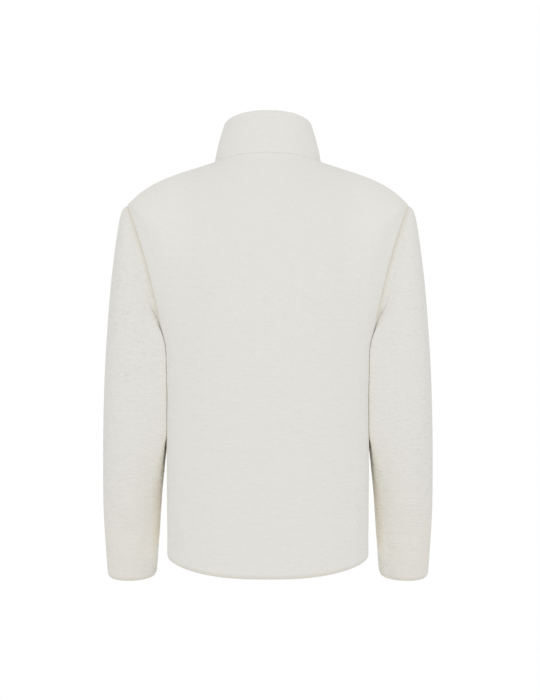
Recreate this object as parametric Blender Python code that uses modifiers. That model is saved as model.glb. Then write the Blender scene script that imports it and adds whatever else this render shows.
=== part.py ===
"""Sherpa fleece jacket, hollow and filled out as when it is worn.

Metres, +Z up, front towards -Y, the wearer's left towards +X. The origin is the centre of the base of the neck,
level with the two neck points where the shoulder seams meet the collar. Every cut piece is a wall of its own:
a grid of outer points, moved in by the cloth's thickness, and rims that meet the next piece at a narrow seam.
"""
import math

import bmesh
import bpy
import numpy as np


def table(names, *rows):
    """A small table: one named column for each word in names, one row for each tuple."""
    return dict(zip(names.split(), np.array(rows, dtype=float).T))


# ---- Cloth -------------------------------------------------------------------------------------------------
WALL = 0.005                 # backing and pile of the sherpa fleece
COLLAR_WALL = 0.008          # two layers of it, folded over at the collar's top
SEAM_GAP = 0.0003            # between two pieces at a seam

# ---- Body --------------------------------------------------------------------------------------------------
NECK_POINT_X = 0.0924        # half the width of the neck at the shoulder seams, at z = 0
SHOULDER_TIP = (0.2425, -0.0703)     # x and z where the shoulder seam meets the armhole
UNDERARM = (0.1790, -0.3200)         # x and z of the lowest point of the armhole
HEM_SIDE_Z = -0.679
SIDE_SEAM = table("z x",
                  (-0.679, 0.1737), (-0.600, 0.1744), (-0.500, 0.1747),
                  (-0.420, 0.1757), (-0.360, 0.1772), (-0.320, 0.1790))
SHOULDER_SEAM = table("x z",
                      (0.0924, 0.0), (0.1200, -0.0080), (0.1500, -0.0169), (0.1830, -0.0284),
                      (0.2088, -0.0421), (0.2277, -0.0560), (0.2425, -0.0703))
CENTRE_BACK = table("z depth",
                    (-0.699, 0.1300), (-0.600, 0.1295), (-0.500, 0.1310), (-0.400, 0.1350),
                    (-0.300, 0.1380), (-0.220, 0.1360), (-0.140, 0.1270), (-0.080, 0.1130),
                    (-0.030, 0.0935), (0.0095, 0.0740))
CENTRE_FRONT = table("z depth",
                     (-0.684, 0.1300), (-0.600, 0.1300), (-0.500, 0.1320), (-0.400, 0.1360),
                     (-0.300, 0.1390), (-0.220, 0.1370), (-0.140, 0.1270), (-0.080, 0.1085),
                     (-0.030, 0.0850))
# Rows run from the hem (stage 0) past the underarm (1) and the shoulder tip (2) to the neckline (3).
ROW_STAGES = table("stage back_z front_z roundness",
                   (0, -0.699, -0.684, 2.55), (1, -0.350, -0.350, 2.65),
                   (2, -0.140, -0.165, 2.15), (3, 0.0095, -0.030, 2.05))
ARMHOLE = {"back": {"width": 0.062, "hollow": 0.0098}, "front": {"width": 0.060, "hollow": 0.0150}}
ARMHOLE_BLUNTNESS = {"tip": 0.88, "underarm": 0.52}      # under 1, the armhole is broader near that end
RELAX_ROUNDS = 26            # evens out the cloth between the seams that hold it
SIDE_ROWS = 12
ARMHOLE_ROWS = 11
SHOULDER_ROWS = 7
BACK_COLUMNS = 24
FRONT_COLUMNS = 12

# ---- Sleeve: sections from the armhole to the cuff, each from an inner to an outer point -----------------------
SLEEVE = table("inner_x inner_z outer_x outer_z centre_y half_depth",
               (0.1790, -0.3200, 0.2425, -0.0703, 0.0010, 0.0570),
               (0.1806, -0.3243, 0.2487, -0.0765, 0.0010, 0.0585),
               (0.1808, -0.3290, 0.2532, -0.0860, 0.0005, 0.0605),
               (0.1806, -0.3335, 0.2572, -0.1030, 0.0000, 0.0630),
               (0.1801, -0.3385, 0.2613, -0.1290, -0.0005, 0.0655),
               (0.1794, -0.3450, 0.2657, -0.1620, -0.0010, 0.0680),
               (0.1787, -0.3540, 0.2700, -0.1990, -0.0015, 0.0700),
               (0.1781, -0.3660, 0.2738, -0.2380, -0.0025, 0.0710),
               (0.1774, -0.3830, 0.2772, -0.2800, -0.0040, 0.0710),
               (0.1768, -0.4060, 0.2802, -0.3240, -0.0055, 0.0695),
               (0.1764, -0.4340, 0.2828, -0.3700, -0.0075, 0.0670),
               (0.1765, -0.4640, 0.2847, -0.4180, -0.0105, 0.0640),
               (0.1777, -0.4950, 0.2862, -0.4670, -0.0145, 0.0600),
               (0.1806, -0.5290, 0.2873, -0.5160, -0.0200, 0.0550),
               (0.1842, -0.5650, 0.2880, -0.5620, -0.0270, 0.0505),
               (0.1872, -0.6000, 0.2881, -0.6010, -0.0335, 0.0465),
               (0.1898, -0.6350, 0.2870, -0.6370, -0.0400, 0.0430),
               (0.1922, -0.6650, 0.2856, -0.6670, -0.0455, 0.0400),
               (0.1945, -0.6930, 0.2843, -0.6950, -0.0505, 0.0375),
               (0.1972, -0.7190, 0.2830, -0.7210, -0.0550, 0.0350))
CUFF_TILT = 0.20             # the cuff's rear edge hangs lower by this share of the depth: the forearm leans
CUFF_TILT_SECTIONS = 7       # sections above the cuff over which that tilt comes in
# How square the section is: at its outer side, where it lies against the body, and at the cuff's inner side.
SLEEVE_ROUNDNESS = {"outer": 2.15, "inner": 6.0, "cuff": 2.6}
LYING_SECTIONS = (0, 5, 11, 14)      # it comes in between the first two, and goes out between the last two
# How far the sleeve reaches round the body's side, by the angle from its inner line to the back or the front.
LYING_REACH = table("turn reach",
                    (0, 0), (16.4, 0.0050), (32.7, 0.0125), (49.1, 0.0090), (65.5, 0.0038), (90, 0))
REACHING_SECTIONS = (0.7, 4.3, 11, 13)   # sections over which that comes in and goes out
# Broad soft troughs of the sleeve: section where it crosses the middle, angle round the sleeve (0 outer, 90 back).
SLEEVE_FOLDS = table("section angle run spread depth slant",
                     (7.5, 118, 0.055, 0.016, 0.0035, 38), (6.0, 236, 0.060, 0.018, 0.0030, -34),
                     (12.0, 250, 0.050, 0.017, 0.0040, 12), (13.5, 285, 0.045, 0.016, 0.0030, -22),
                     (15.6, 70, 0.045, 0.015, 0.0025, 40), (16.4, 110, 0.040, 0.014, 0.0025, 15))
FOLD_ROW_LENGTH = 0.034      # length of sleeve that a section stands for, in the folds' own measure
HOLLOW_SECTIONS = 4          # sections over which the armhole's hollow fades out down the sleeve

# ---- Collar ------------------------------------------------------------------------------------------------
COLLAR_TOP = {"half_width": 0.0748, "back_y": 0.0620, "front_y": 0.0700,
              "back_z": 0.0832, "side_z": 0.0660, "front_z": 0.0450}
COLLAR_SWELL = 0.0015
COLLAR_SECTION = table("height depth",           # shares of the collar's height and of its thickness
                       (0.00, 0.00), (0.25, 0.00), (0.50, 0.00), (0.75, 0.00), (0.93, 0.00),
                       (0.985, 0.18), (1.00, 0.50), (0.985, 0.82),
                       (0.93, 1.00), (0.75, 1.00), (0.50, 1.00), (0.25, 1.00), (0.00, 1.00))

# ---- Zip ---------------------------------------------------------------------------------------------------
ZIP_SLOT = 0.0140            # between the two front edges
TAPE_DEPTH = 0.0062          # the tapes' middle, behind the outer face of the fronts
TAPE_THICKNESS = 0.0010
TAPE_INNER = 0.0032          # half the distance between the tapes
TAPE_OUTER_FRONT = 0.0150    # where the tapes lie behind the fronts
TAPE_OUTER_COLLAR = 0.0066   # where they run between the collar's two ends
CHAIN_WIDTH = 0.0058
CHAIN_THICKNESS = 0.0024
SLIDER_FROM_TOP = 0.0120     # the slider's middle, below the collar's top edge
SLIDER_SIZE = (0.0086, 0.0012, 0.0110)           # one plate: width, thickness, height
PLATE_GAP = 0.0030
BAIL_WIDTH = 0.0016
BAIL_REACH = 0.0030
BAIL_SPAN = 0.0078
BAIL_STOCK = 0.0010
PULL_SIZE = (0.0064, 0.0013, 0.0300)             # width, thickness, length below the hinge
PULL_WINDOW = (0.0030, 0.0060)
PULL_BAR = 0.0013
FIT = 0.00035                # clearance between the zip's small pieces
BOX_SIZE = (0.0090, 0.0036, 0.0110)
BOX_ABOVE_HEM = 0.0012
TAPE_ABOVE_HEM = 0.0006
TAPE_FROM_TOP = 0.0020
TAPE_NARROWING = (0.0090, 0.0050)                # it narrows between these distances below the neckline
POST_SIZE = (0.0026, 0.0034)                     # between the slider's plates: width, height
POST_FROM_TOP = 0.0024
SMALL_BEVEL = 0.0004
BOX_BEVEL = 0.0005
SLACK = 0.0002               # between pieces that follow each other along the chain

ECRU = (0.79, 0.77, 0.72, 1.0)
ECRU_TAPE = (0.74, 0.72, 0.66, 1.0)
ECRU_PLASTIC = (0.72, 0.70, 0.64, 1.0)
PALE_METAL = (0.62, 0.61, 0.58, 1.0)


# ---- Helpers -----------------------------------------------------------------------------------------------
def smooth(columns, key, value, at):
    """Read a column of a table at any key, on a smooth curve through its rows."""
    keys, values = columns[key], columns[value]
    slopes = np.gradient(values, keys)
    at = np.clip(at, keys[0], keys[-1])
    row = np.clip(np.searchsorted(keys, at, side="right") - 1, 0, len(keys) - 2)
    step = keys[row + 1] - keys[row]
    t = (at - keys[row]) / step
    return ((2 * t**3 - 3 * t**2 + 1) * values[row] + (t**3 - 2 * t**2 + t) * step * slopes[row]
            + (3 * t**2 - 2 * t**3) * values[row + 1] + (t**3 - t**2) * step * slopes[row + 1])


def unit(vectors):
    return vectors / np.linalg.norm(vectors, axis=-1, keepdims=True)


def grid_normals(grid, around=False):
    """Unit normals of a grid of points, on the side of rows crossed with columns."""
    along = np.gradient(grid, axis=0)
    if around:
        across = (np.roll(grid, -1, axis=1) - np.roll(grid, 1, axis=1)) / 2
    else:
        across = np.gradient(grid, axis=1)
    return unit(np.cross(along, across))


def mirrored(points):
    return points * np.array((-1.0, 1.0, 1.0))


# ---- Body surface ------------------------------------------------------------------------------------------
def armhole_point(face, angle):
    """The armhole seam: angle 0 at the shoulder tip, pi at the underarm, on the back or the front."""
    size = ARMHOLE[face]
    height = (1 + math.cos(angle)) / 2
    bulge = math.sin(angle)
    x = UNDERARM[0] + (SHOULDER_TIP[0] - UNDERARM[0]) * height - size["hollow"] * bulge**2
    z = UNDERARM[1] + (SHOULDER_TIP[1] - UNDERARM[1]) * height
    power = ARMHOLE_BLUNTNESS["underarm"] + (ARMHOLE_BLUNTNESS["tip"] - ARMHOLE_BLUNTNESS["underarm"]) * height
    y = size["width"] * max(bulge, 0.0) ** power
    return x, y if face == "back" else -y, z


def body_edge(face, stage):
    """The outer edge of a body panel: side seam, armhole and shoulder seam, one after the other."""
    if stage <= 1:
        z = HEM_SIDE_Z + (UNDERARM[1] - HEM_SIDE_Z) * stage
        return float(smooth(SIDE_SEAM, "z", "x", z)), 0.0, z
    if stage <= 2:
        return armhole_point(face, math.pi * (2 - stage))
    x = SHOULDER_TIP[0] + (NECK_POINT_X - SHOULDER_TIP[0]) * (stage - 2)
    return x, 0.0, float(smooth(SHOULDER_SEAM, "x", "z", x))


def body_row(face, stage, shares, start_x=0.0):
    """One row of a panel, from start_x (share 0) to the panel's outer edge (share 1), as half an oval."""
    edge_x, edge_y, edge_z = body_edge(face, stage)
    centre_z = np.interp(stage, ROW_STAGES["stage"], ROW_STAGES[face + "_z"])
    power = np.interp(stage, ROW_STAGES["stage"], ROW_STAGES["roundness"])
    profile = CENTRE_BACK if face == "back" else CENTRE_FRONT
    depth = float(smooth(profile, "z", "depth", centre_z))
    last_turn = math.acos((abs(edge_y) / depth) ** (power / 2))
    half_width = edge_x / math.sin(last_turn) ** (2 / power)
    first_turn = math.asin((start_x / half_width) ** (power / 2))
    turn = first_turn + (last_turn - first_turn) * np.asarray(shares)
    x = half_width * np.sin(turn) ** (2 / power)
    y = depth * np.clip(np.cos(turn), 0.0, 1.0) ** (2 / power)
    z = edge_z + (centre_z - edge_z) * np.cos(math.pi / 2 * turn / last_turn) ** 2
    return np.stack((x, y if face == "back" else -y, z), axis=-1)


def body_stages():
    side = np.linspace(0, 1, SIDE_ROWS, endpoint=False)
    armhole = np.linspace(1, 2, ARMHOLE_ROWS, endpoint=False)
    shoulder = np.linspace(2, 3, SHOULDER_ROWS + 1)
    return np.concatenate((side, armhole, shoulder))


def relaxed(grid):
    """The same grid with its inner points evened out, and its edges and volume kept."""
    grid = grid.copy()
    for _ in range(RELAX_ROUNDS):
        for share in (0.50, -0.52):
            middle = (grid[:-2, 1:-1] + grid[2:, 1:-1] + grid[1:-1, :-2] + grid[1:-1, 2:]) / 4
            grid[1:-1, 1:-1] += share * (middle - grid[1:-1, 1:-1])
    return grid


def back_grid():
    """Rows from the hem up, columns from the wearer's right (-X) to the left (+X)."""
    shares = np.linspace(0, 1, BACK_COLUMNS // 2 + 1)
    left = np.array([body_row("back", stage, shares) for stage in body_stages()])
    return relaxed(np.concatenate((mirrored(left[:, :0:-1]), left), axis=1))


def front_grid():
    """The left front: rows from the hem up, columns from the side to the zip."""
    shares = np.linspace(1, 0, FRONT_COLUMNS + 1)
    return relaxed(np.array([body_row("front", stage, shares, ZIP_SLOT / 2) for stage in body_stages()]))


# ---- Sleeve surface ----------------------------------------------------------------------------------------
def sleeve_angles():
    """Round the sleeve from the outer line (0) by the back (90 degrees), one for each row of the armhole."""
    return np.arange(2 * ARMHOLE_ROWS) * math.pi / ARMHOLE_ROWS


def sleeve_powers(section, angles):
    """How square the sleeve's section is at each angle."""
    sizes = [SLEEVE_ROUNDNESS[name] for name in ("outer", "inner", "inner", "cuff")]
    inner = np.interp(section, LYING_SECTIONS, sizes)
    return SLEEVE_ROUNDNESS["outer"] + (inner - SLEEVE_ROUNDNESS["outer"]) * (1 - np.cos(angles)) / 2


def sleeve_reaches(section, angles):
    """How far the sleeve lies round the body's side at each angle."""
    turns = np.degrees(np.abs(math.pi - angles))
    come_in = np.interp(section, REACHING_SECTIONS, (0, 1, 1, 0))
    return come_in * np.interp(turns, LYING_REACH["turn"], LYING_REACH["reach"])


def fold_depth(section, angle, radius):
    """How far the soft troughs press the sleeve in at one point."""
    pressed = 0.0
    for row in range(len(SLEEVE_FOLDS["section"])):
        fold = {name: column[row] for name, column in SLEEVE_FOLDS.items()}
        along = (section - fold["section"]) * FOLD_ROW_LENGTH
        turn = (angle - math.radians(fold["angle"]) + math.pi) % (2 * math.pi) - math.pi
        around = turn * radius
        slant = math.radians(fold["slant"])
        run = along * math.sin(slant) + around * math.cos(slant)
        off = along * math.cos(slant) - around * math.sin(slant)
        pressed += fold["depth"] * math.exp(-(run / fold["run"])**2 - (off / fold["spread"])**2)
    return pressed


def sleeve_grid():
    """The left sleeve: rows from the armhole to the cuff, columns round it."""
    last = len(SLEEVE["inner_x"]) - 1
    angles = sleeve_angles()
    rows = []
    for section in range(last + 1):
        size = {name: column[section] for name, column in SLEEVE.items()}
        height = (1 + np.cos(angles)) / 2
        bulge = np.abs(np.sin(angles)) ** (2 / sleeve_powers(section, angles)) * np.sign(np.sin(angles))
        x = size["inner_x"] + (size["outer_x"] - size["inner_x"]) * height - sleeve_reaches(section, angles)
        z = size["inner_z"] + (size["outer_z"] - size["inner_z"]) * height
        y = size["centre_y"] + size["half_depth"] * bulge
        tilt = CUFF_TILT * max(0.0, 1 - (last - section) / CUFF_TILT_SECTIONS)
        rows.append(np.stack((x, y, z - tilt * size["half_depth"] * np.sin(angles)), axis=-1))
    grid = np.array(rows)
    for column, angle in enumerate(angles):
        turn = min(angle, 2 * math.pi - angle)
        grid[0, column] = armhole_point("back" if angle <= math.pi else "front", turn)
    for section in range(1, HOLLOW_SECTIONS):
        hollow = ARMHOLE["back"]["hollow"] * (1 - section / HOLLOW_SECTIONS) ** 2
        grid[section, :, 0] -= hollow * np.sin(angles) ** 2
    outward = grid_normals(grid, around=True)
    for section in range(HOLLOW_SECTIONS - 1, last):
        radius = (SLEEVE["outer_x"][section] - SLEEVE["inner_x"][section] + 2 * SLEEVE["half_depth"][section]) / 4
        for column, angle in enumerate(angles):
            grid[section, column] -= outward[section, column] * fold_depth(section, angle, radius)
    return grid


# ---- Collar surface ----------------------------------------------------------------------------------------
def collar_top_row(face, shares, start_x=0.0):
    """The collar's top edge from start_x to the side, on the back or the front."""
    power = ROW_STAGES["roundness"][-1]
    depth = COLLAR_TOP[face + "_y"]
    first_turn = math.asin((start_x / COLLAR_TOP["half_width"]) ** (power / 2))
    turn = first_turn + (math.pi / 2 - first_turn) * np.asarray(shares)
    x = COLLAR_TOP["half_width"] * np.sin(turn) ** (2 / power)
    reach = np.clip(np.cos(turn), 0.0, 1.0) ** (2 / power)
    z = COLLAR_TOP["side_z"] + (COLLAR_TOP[face + "_z"] - COLLAR_TOP["side_z"]) * reach
    return np.stack((x, depth * reach if face == "back" else -depth * reach, z), axis=-1)


def collar_edges(back, front):
    """Bottom and top edges of the collar, from the zip round the left side and the back to the zip again."""
    bottom_left = front[-1][::-1]
    top_left = collar_top_row("front", np.linspace(0, 1, FRONT_COLUMNS + 1), ZIP_SLOT / 2)
    half_back = collar_top_row("back", np.linspace(0, 1, BACK_COLUMNS // 2 + 1))
    bottom_back = back[-1][::-1]
    top_back = np.concatenate((half_back[::-1], mirrored(half_back[1:])))
    bottom = np.concatenate((bottom_left, bottom_back[1:-1], mirrored(bottom_left[::-1])))
    top = np.concatenate((top_left, top_back[1:-1], mirrored(top_left[::-1])))
    return bottom, top


# ---- Meshes ------------------------------------------------------------------------------------------------
def make_material(name, colour, roughness, metallic=0.0):
    material = bpy.data.materials.new(name)
    material.use_nodes = True
    shader = material.node_tree.nodes["Principled BSDF"]
    shader.inputs["Base Color"].default_value = colour
    shader.inputs["Roughness"].default_value = roughness
    shader.inputs["Metallic"].default_value = metallic
    return material


def add_mesh_object(name, points, faces, material, collection):
    mesh = bpy.data.meshes.new(name)
    mesh.from_pydata([tuple(point) for point in points], [], faces)
    work = bmesh.new()
    work.from_mesh(mesh)
    bmesh.ops.recalc_face_normals(work, faces=work.faces)
    work.to_mesh(mesh)
    work.free()
    mesh.shade_smooth()
    mesh.materials.append(material)
    made = bpy.data.objects.new(name, mesh)
    collection.objects.link(made)
    return made


def add_wall(name, outer, inner, material, collection, around=False):
    """A wall between two grids of points, closed by rims along its free edges."""
    rows, columns = outer.shape[:2]
    count = rows * columns
    points = np.concatenate((outer.reshape(-1, 3), inner.reshape(-1, 3)))
    spans = columns if around else columns - 1
    faces = []

    def quad(row, column, skin):
        right = (column + 1) % columns
        return tuple(skin * count + r * columns + c
                     for r, c in ((row, column), (row, right), (row + 1, right), (row + 1, column)))

    def rim(first, second):
        """Two triangles, split from the lower outer point, so that both sides of a seam bend alike."""
        if points[first][2] < points[second][2]:
            faces.append((first, second, count + second))
            faces.append((first, count + second, count + first))
        else:
            faces.append((first, second, count + first))
            faces.append((second, count + second, count + first))

    for row in range(rows - 1):
        for column in range(spans):
            faces.append(quad(row, column, 0))
            faces.append(quad(row, column, 1)[::-1])
    for column in range(spans):
        right = (column + 1) % columns
        rim(right, column)
        rim((rows - 1) * columns + column, (rows - 1) * columns + right)
    if not around:
        for row in range(rows - 1):
            rim(row * columns, (row + 1) * columns)
            rim((row + 2) * columns - 1, (row + 1) * columns - 1)
    return add_mesh_object(name, points, faces, material, collection)


def add_sweep(name, loops, material, collection):
    """A bar through a row of closed loops of points, with a flat cap at each end."""
    sections, around = loops.shape[:2]
    faces = [tuple(range(around))[::-1], tuple((sections - 1) * around + k for k in range(around))]
    for section in range(sections - 1):
        for k in range(around):
            after = (k + 1) % around
            faces.append((section * around + k, section * around + after,
                          (section + 1) * around + after, (section + 1) * around + k))
    return add_mesh_object(name, loops.reshape(-1, 3), faces, material, collection)


# ---- Seams -------------------------------------------------------------------------------------------------
def shared_rim(first, second, thickness):
    """The vector that leads in through a seam, for two walls with these outward normals."""
    middle = unit(first + second)
    slope = np.sum(first * middle, axis=-1, keepdims=True)
    return middle * thickness / np.clip(slope, 0.6, 1.0)


def body_and_sleeves():
    """Outer grids and inward vectors of back, left front and left sleeve, parted by the seam gaps."""
    back, front, sleeve = back_grid(), front_grid(), sleeve_grid()
    back_in = WALL * grid_normals(back)
    front_in = WALL * grid_normals(front)
    sleeve_in = WALL * grid_normals(sleeve, around=True)
    first, last = SIDE_ROWS, SIDE_ROWS + ARMHOLE_ROWS
    half_gap = SEAM_GAP / 2
    front_in[:, -1, 0] = 0.0
    seam_rows = [row for row in range(len(back)) if row <= first or row >= last]
    seam_in = WALL * unit((back_in[seam_rows, -1] + front_in[seam_rows, 0]) * (1.0, 0.0, 1.0))
    back_in[seam_rows, -1] = seam_in
    back_in[seam_rows, 0] = mirrored(seam_in)
    front_in[seam_rows, 0] = seam_in
    loop = sleeve[0].copy()
    tangent = unit(np.roll(loop, -1, axis=0) - np.roll(loop, 1, axis=0))
    sleeve_out = unit(sleeve_in[0])
    for step in range(ARMHOLE_ROWS + 1):
        row = last - step
        for side, column, inward in (("back", -1, back_in), ("front", 0, front_in)):
            place = step if side == "back" else -step % (2 * ARMHOLE_ROWS)
            rim = shared_rim(unit(inward[row, column]), sleeve_out[place], WALL)
            across = np.cross(tangent[place], unit(rim))
            shift = half_gap * across * np.sign(across[0])
            if side == "back":
                back_in[row, -1] = rim
                back_in[row, 0] = mirrored(rim)
                back[row, -1] -= shift
                back[row, 0] -= mirrored(shift)
            else:
                front_in[row, 0] = rim
                front[row, 0] -= shift
            if side == "back" or 0 < step < ARMHOLE_ROWS:
                sleeve_in[0, place] = rim
                sleeve[0, place] += shift
    back[seam_rows, 0, 1] += half_gap
    back[seam_rows, -1, 1] += half_gap
    front[seam_rows, 0, 1] -= half_gap
    return (back, back_in), (front, front_in), (sleeve, sleeve_in)


def collar_loops(back, back_in, front, front_in):
    """Closed sections of the collar from zip to zip; the neckline rims of the panels are turned to meet it."""
    bottom, top = collar_edges(back, front)
    rise = top - bottom
    along = np.gradient(bottom, axis=0)
    outward = np.cross(along, rise)
    outward[[0, -1], 0] = 0.0
    outward = unit(outward)
    panel = np.concatenate((front_in[-1][::-1], back_in[-1][::-1][1:-1], mirrored(front_in[-1])))
    rim = shared_rim(unit(panel), outward, WALL)
    columns = FRONT_COLUMNS + 1
    front_in[-1] = rim[:columns][::-1]
    back_in[-1] = np.concatenate((rim[columns - 1:columns], rim[columns:-columns], rim[-columns:-columns + 1]))[::-1]
    lifted = bottom + SEAM_GAP * unit(rise)
    loops = []
    for height, depth in zip(COLLAR_SECTION["height"], COLLAR_SECTION["depth"]):
        swell = COLLAR_SWELL * math.sin(math.pi * height)
        inward = rim * (COLLAR_WALL / WALL) if height == 0 else outward * COLLAR_WALL
        loops.append(lifted + (top - lifted) * height + outward * swell - inward * depth)
    return np.array(loops).transpose(1, 0, 2)


# ---- Zip ---------------------------------------------------------------------------------------------------
def zip_line(front, collar):
    """The outer line of the centre front, from the hem to the collar's top, as y and z."""
    collar_rows = np.flatnonzero(COLLAR_SECTION["depth"] == 0)
    return np.concatenate((front[:, -1, 1:], collar[0, collar_rows[1:], 1:]))


def line_stations(line, extra):
    """Distances along the line at its own corners and at the extra ones, with points and inward normals."""
    steps = np.linalg.norm(np.diff(line, axis=0), axis=1)
    corners = np.concatenate(((0.0,), np.cumsum(steps)))
    ahead = unit(np.gradient(line, corners, axis=0))
    inward = np.stack((ahead[:, 1], -ahead[:, 0]), axis=-1)
    distances = np.unique(np.concatenate((corners, np.asarray(extra))))
    points = np.stack([np.interp(distances, corners, line[:, k]) for k in (0, 1)], axis=-1)
    normals = unit(np.stack([np.interp(distances, corners, inward[:, k]) for k in (0, 1)], axis=-1))
    return distances, points, normals


def add_strip(name, stations, inner_x, outer_x, near, far, material, collection):
    """A strip along the zip between two depths; its edges in x may change with the distance."""
    distances, points, normals = stations
    left = np.broadcast_to(inner_x, distances.shape)
    right = np.broadcast_to(outer_x, distances.shape)
    loops = []
    for point, normal, x0, x1 in zip(points, normals, left, right):
        front_point, rear_point = point + normal * near, point + normal * far
        loops.append([(x0, *front_point), (x1, *front_point), (x1, *rear_point), (x0, *rear_point)])
    return add_sweep(name, np.array(loops), material, collection)


def clip_stations(stations, low, high):
    distances, points, normals = stations
    kept = (distances >= low - 1e-9) & (distances <= high + 1e-9)
    return distances[kept], points[kept], normals[kept]


def add_box(name, size, centre, collection, bevel=0.0):
    bpy.ops.mesh.primitive_cube_add(size=1.0)
    box = bpy.context.object
    box.name = name
    for vertex in box.data.vertices:
        vertex.co = [centre[axis] + size[axis] * vertex.co[axis] for axis in range(3)]
    for old in list(box.users_collection):
        old.objects.unlink(box)
    collection.objects.link(box)
    if bevel:
        edge = box.modifiers.new("Rounded edges", "BEVEL")
        edge.width = bevel
        edge.segments = 2
    return box


def add_boolean(target, tool, operation):
    cut = target.modifiers.new(operation.title(), "BOOLEAN")
    cut.operation = operation
    cut.solver = "EXACT"
    cut.object = tool
    tool.hide_render = True
    tool.display_type = "WIRE"


def add_slider(material, collection, tools):
    """Two plates round the chain, the post between them, and the bail that holds the pull."""
    width, plate, height = SLIDER_SIZE
    middle = (PLATE_GAP + plate) / 2
    slider = add_box("zip_slider", (width, plate, height), (0, -middle, 0), collection, bevel=SMALL_BEVEL)
    rear = add_box("slider_rear_plate", (width, plate, height), (0, middle, 0), tools, bevel=SMALL_BEVEL)
    post = add_box("slider_post", (POST_SIZE[0], PLATE_GAP + plate, POST_SIZE[1]),
                   (0, 0, height / 2 - POST_FROM_TOP), tools)
    face = -PLATE_GAP / 2 - plate
    arch = add_box("slider_bail", (BAIL_WIDTH, BAIL_REACH + plate / 2, BAIL_SPAN),
                   (0, face - BAIL_REACH / 2 + plate / 4, 0), tools, bevel=SMALL_BEVEL)
    room = BAIL_REACH - BAIL_STOCK
    opening = add_box("slider_bail_opening", (BAIL_WIDTH * 2, room, BAIL_SPAN - 2 * BAIL_STOCK),
                      (0, face - room / 2 - 0.00002, 0), tools)
    add_boolean(arch, opening, "DIFFERENCE")
    for tool in (rear, post, arch):
        add_boolean(slider, tool, "UNION")
    slider.data.materials.append(material)
    return slider


def add_pull(material, collection, tools):
    """The pull tab, with its origin on the bar that turns under the bail."""
    width, thickness, length = PULL_SIZE
    pull = add_box("zip_pull", (width, thickness, length + PULL_BAR / 2),
                   (0, 0, (PULL_BAR / 2 - length) / 2), collection, bevel=SMALL_BEVEL)
    window_width, window_height = PULL_WINDOW
    window = add_box("pull_window", (window_width, thickness * 3, window_height),
                     (0, 0, -PULL_BAR / 2 - window_height / 2), tools)
    add_boolean(pull, window, "DIFFERENCE")
    pull.data.materials.append(material)
    return pull


def add_zip(front, collar, materials, collection, tools):
    """Two tapes, the closed chain between them, the retainer at the hem, the slider and its pull."""
    line = zip_line(front, collar)
    total = np.linalg.norm(np.diff(line, axis=0), axis=1).sum()
    neck = np.linalg.norm(np.diff(front[:, -1, 1:], axis=0), axis=1).sum()
    box_top = BOX_ABOVE_HEM + BOX_SIZE[2]
    tape_widens = box_top + SLACK
    chain_start = tape_widens + SLACK
    slider_at = total - SLIDER_FROM_TOP
    chain_end = slider_at - 3 * SLACK
    tape_top = total - TAPE_FROM_TOP
    narrow_from, narrow_to = (neck - below for below in TAPE_NARROWING)
    stations = line_stations(line, (tape_widens, tape_widens + TAPE_THICKNESS, chain_start, narrow_from, narrow_to,
                                    slider_at, chain_end, tape_top))
    near = TAPE_DEPTH - TAPE_THICKNESS / 2
    far = TAPE_DEPTH + TAPE_THICKNESS / 2
    tape_stations = clip_stations(stations, TAPE_ABOVE_HEM, tape_top)
    distances = tape_stations[0]
    edge_in = np.interp(distances, (tape_widens, tape_widens + TAPE_THICKNESS),
                        (BOX_SIZE[0] / 2 + FIT, TAPE_INNER))
    edge_out = np.interp(distances, (narrow_from, narrow_to), (TAPE_OUTER_FRONT, TAPE_OUTER_COLLAR))
    add_strip("zip_tape_left", tape_stations, edge_in, edge_out, near, far, materials["tape"], collection)
    add_strip("zip_tape_right", tape_stations, -edge_in, -edge_out, near, far, materials["tape"], collection)
    half_chain = CHAIN_THICKNESS / 2
    add_strip("zip_teeth", clip_stations(stations, chain_start, chain_end),
              -CHAIN_WIDTH / 2, CHAIN_WIDTH / 2, TAPE_DEPTH - half_chain, TAPE_DEPTH + half_chain,
              materials["teeth"], collection)

    def placed(made, distance, depth):
        at = np.searchsorted(stations[0], distance)
        spot = stations[1][at] + stations[2][at] * depth
        lean = math.atan2(stations[2][at][1], stations[2][at][0])
        made.location = (0.0, *spot)
        made.rotation_euler = (lean, 0.0, 0.0)
        return made

    box = add_box("zip_box", BOX_SIZE, (0, 0, -BOX_SIZE[2] / 2 - SLACK), collection, bevel=BOX_BEVEL)
    box.data.materials.append(materials["teeth"])
    placed(box, tape_widens, TAPE_DEPTH)
    slider = placed(add_slider(materials["metal"], collection, tools), slider_at, TAPE_DEPTH)
    for tool in tools.objects:
        tool.parent = slider
    bar_depth = TAPE_DEPTH - PLATE_GAP / 2 - SLIDER_SIZE[1] - FIT - PULL_SIZE[1] / 2
    before = set(tools.objects)
    pull = placed(add_pull(materials["metal"], collection, tools), slider_at, bar_depth)
    for tool in set(tools.objects) - before:
        tool.parent = pull


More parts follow.
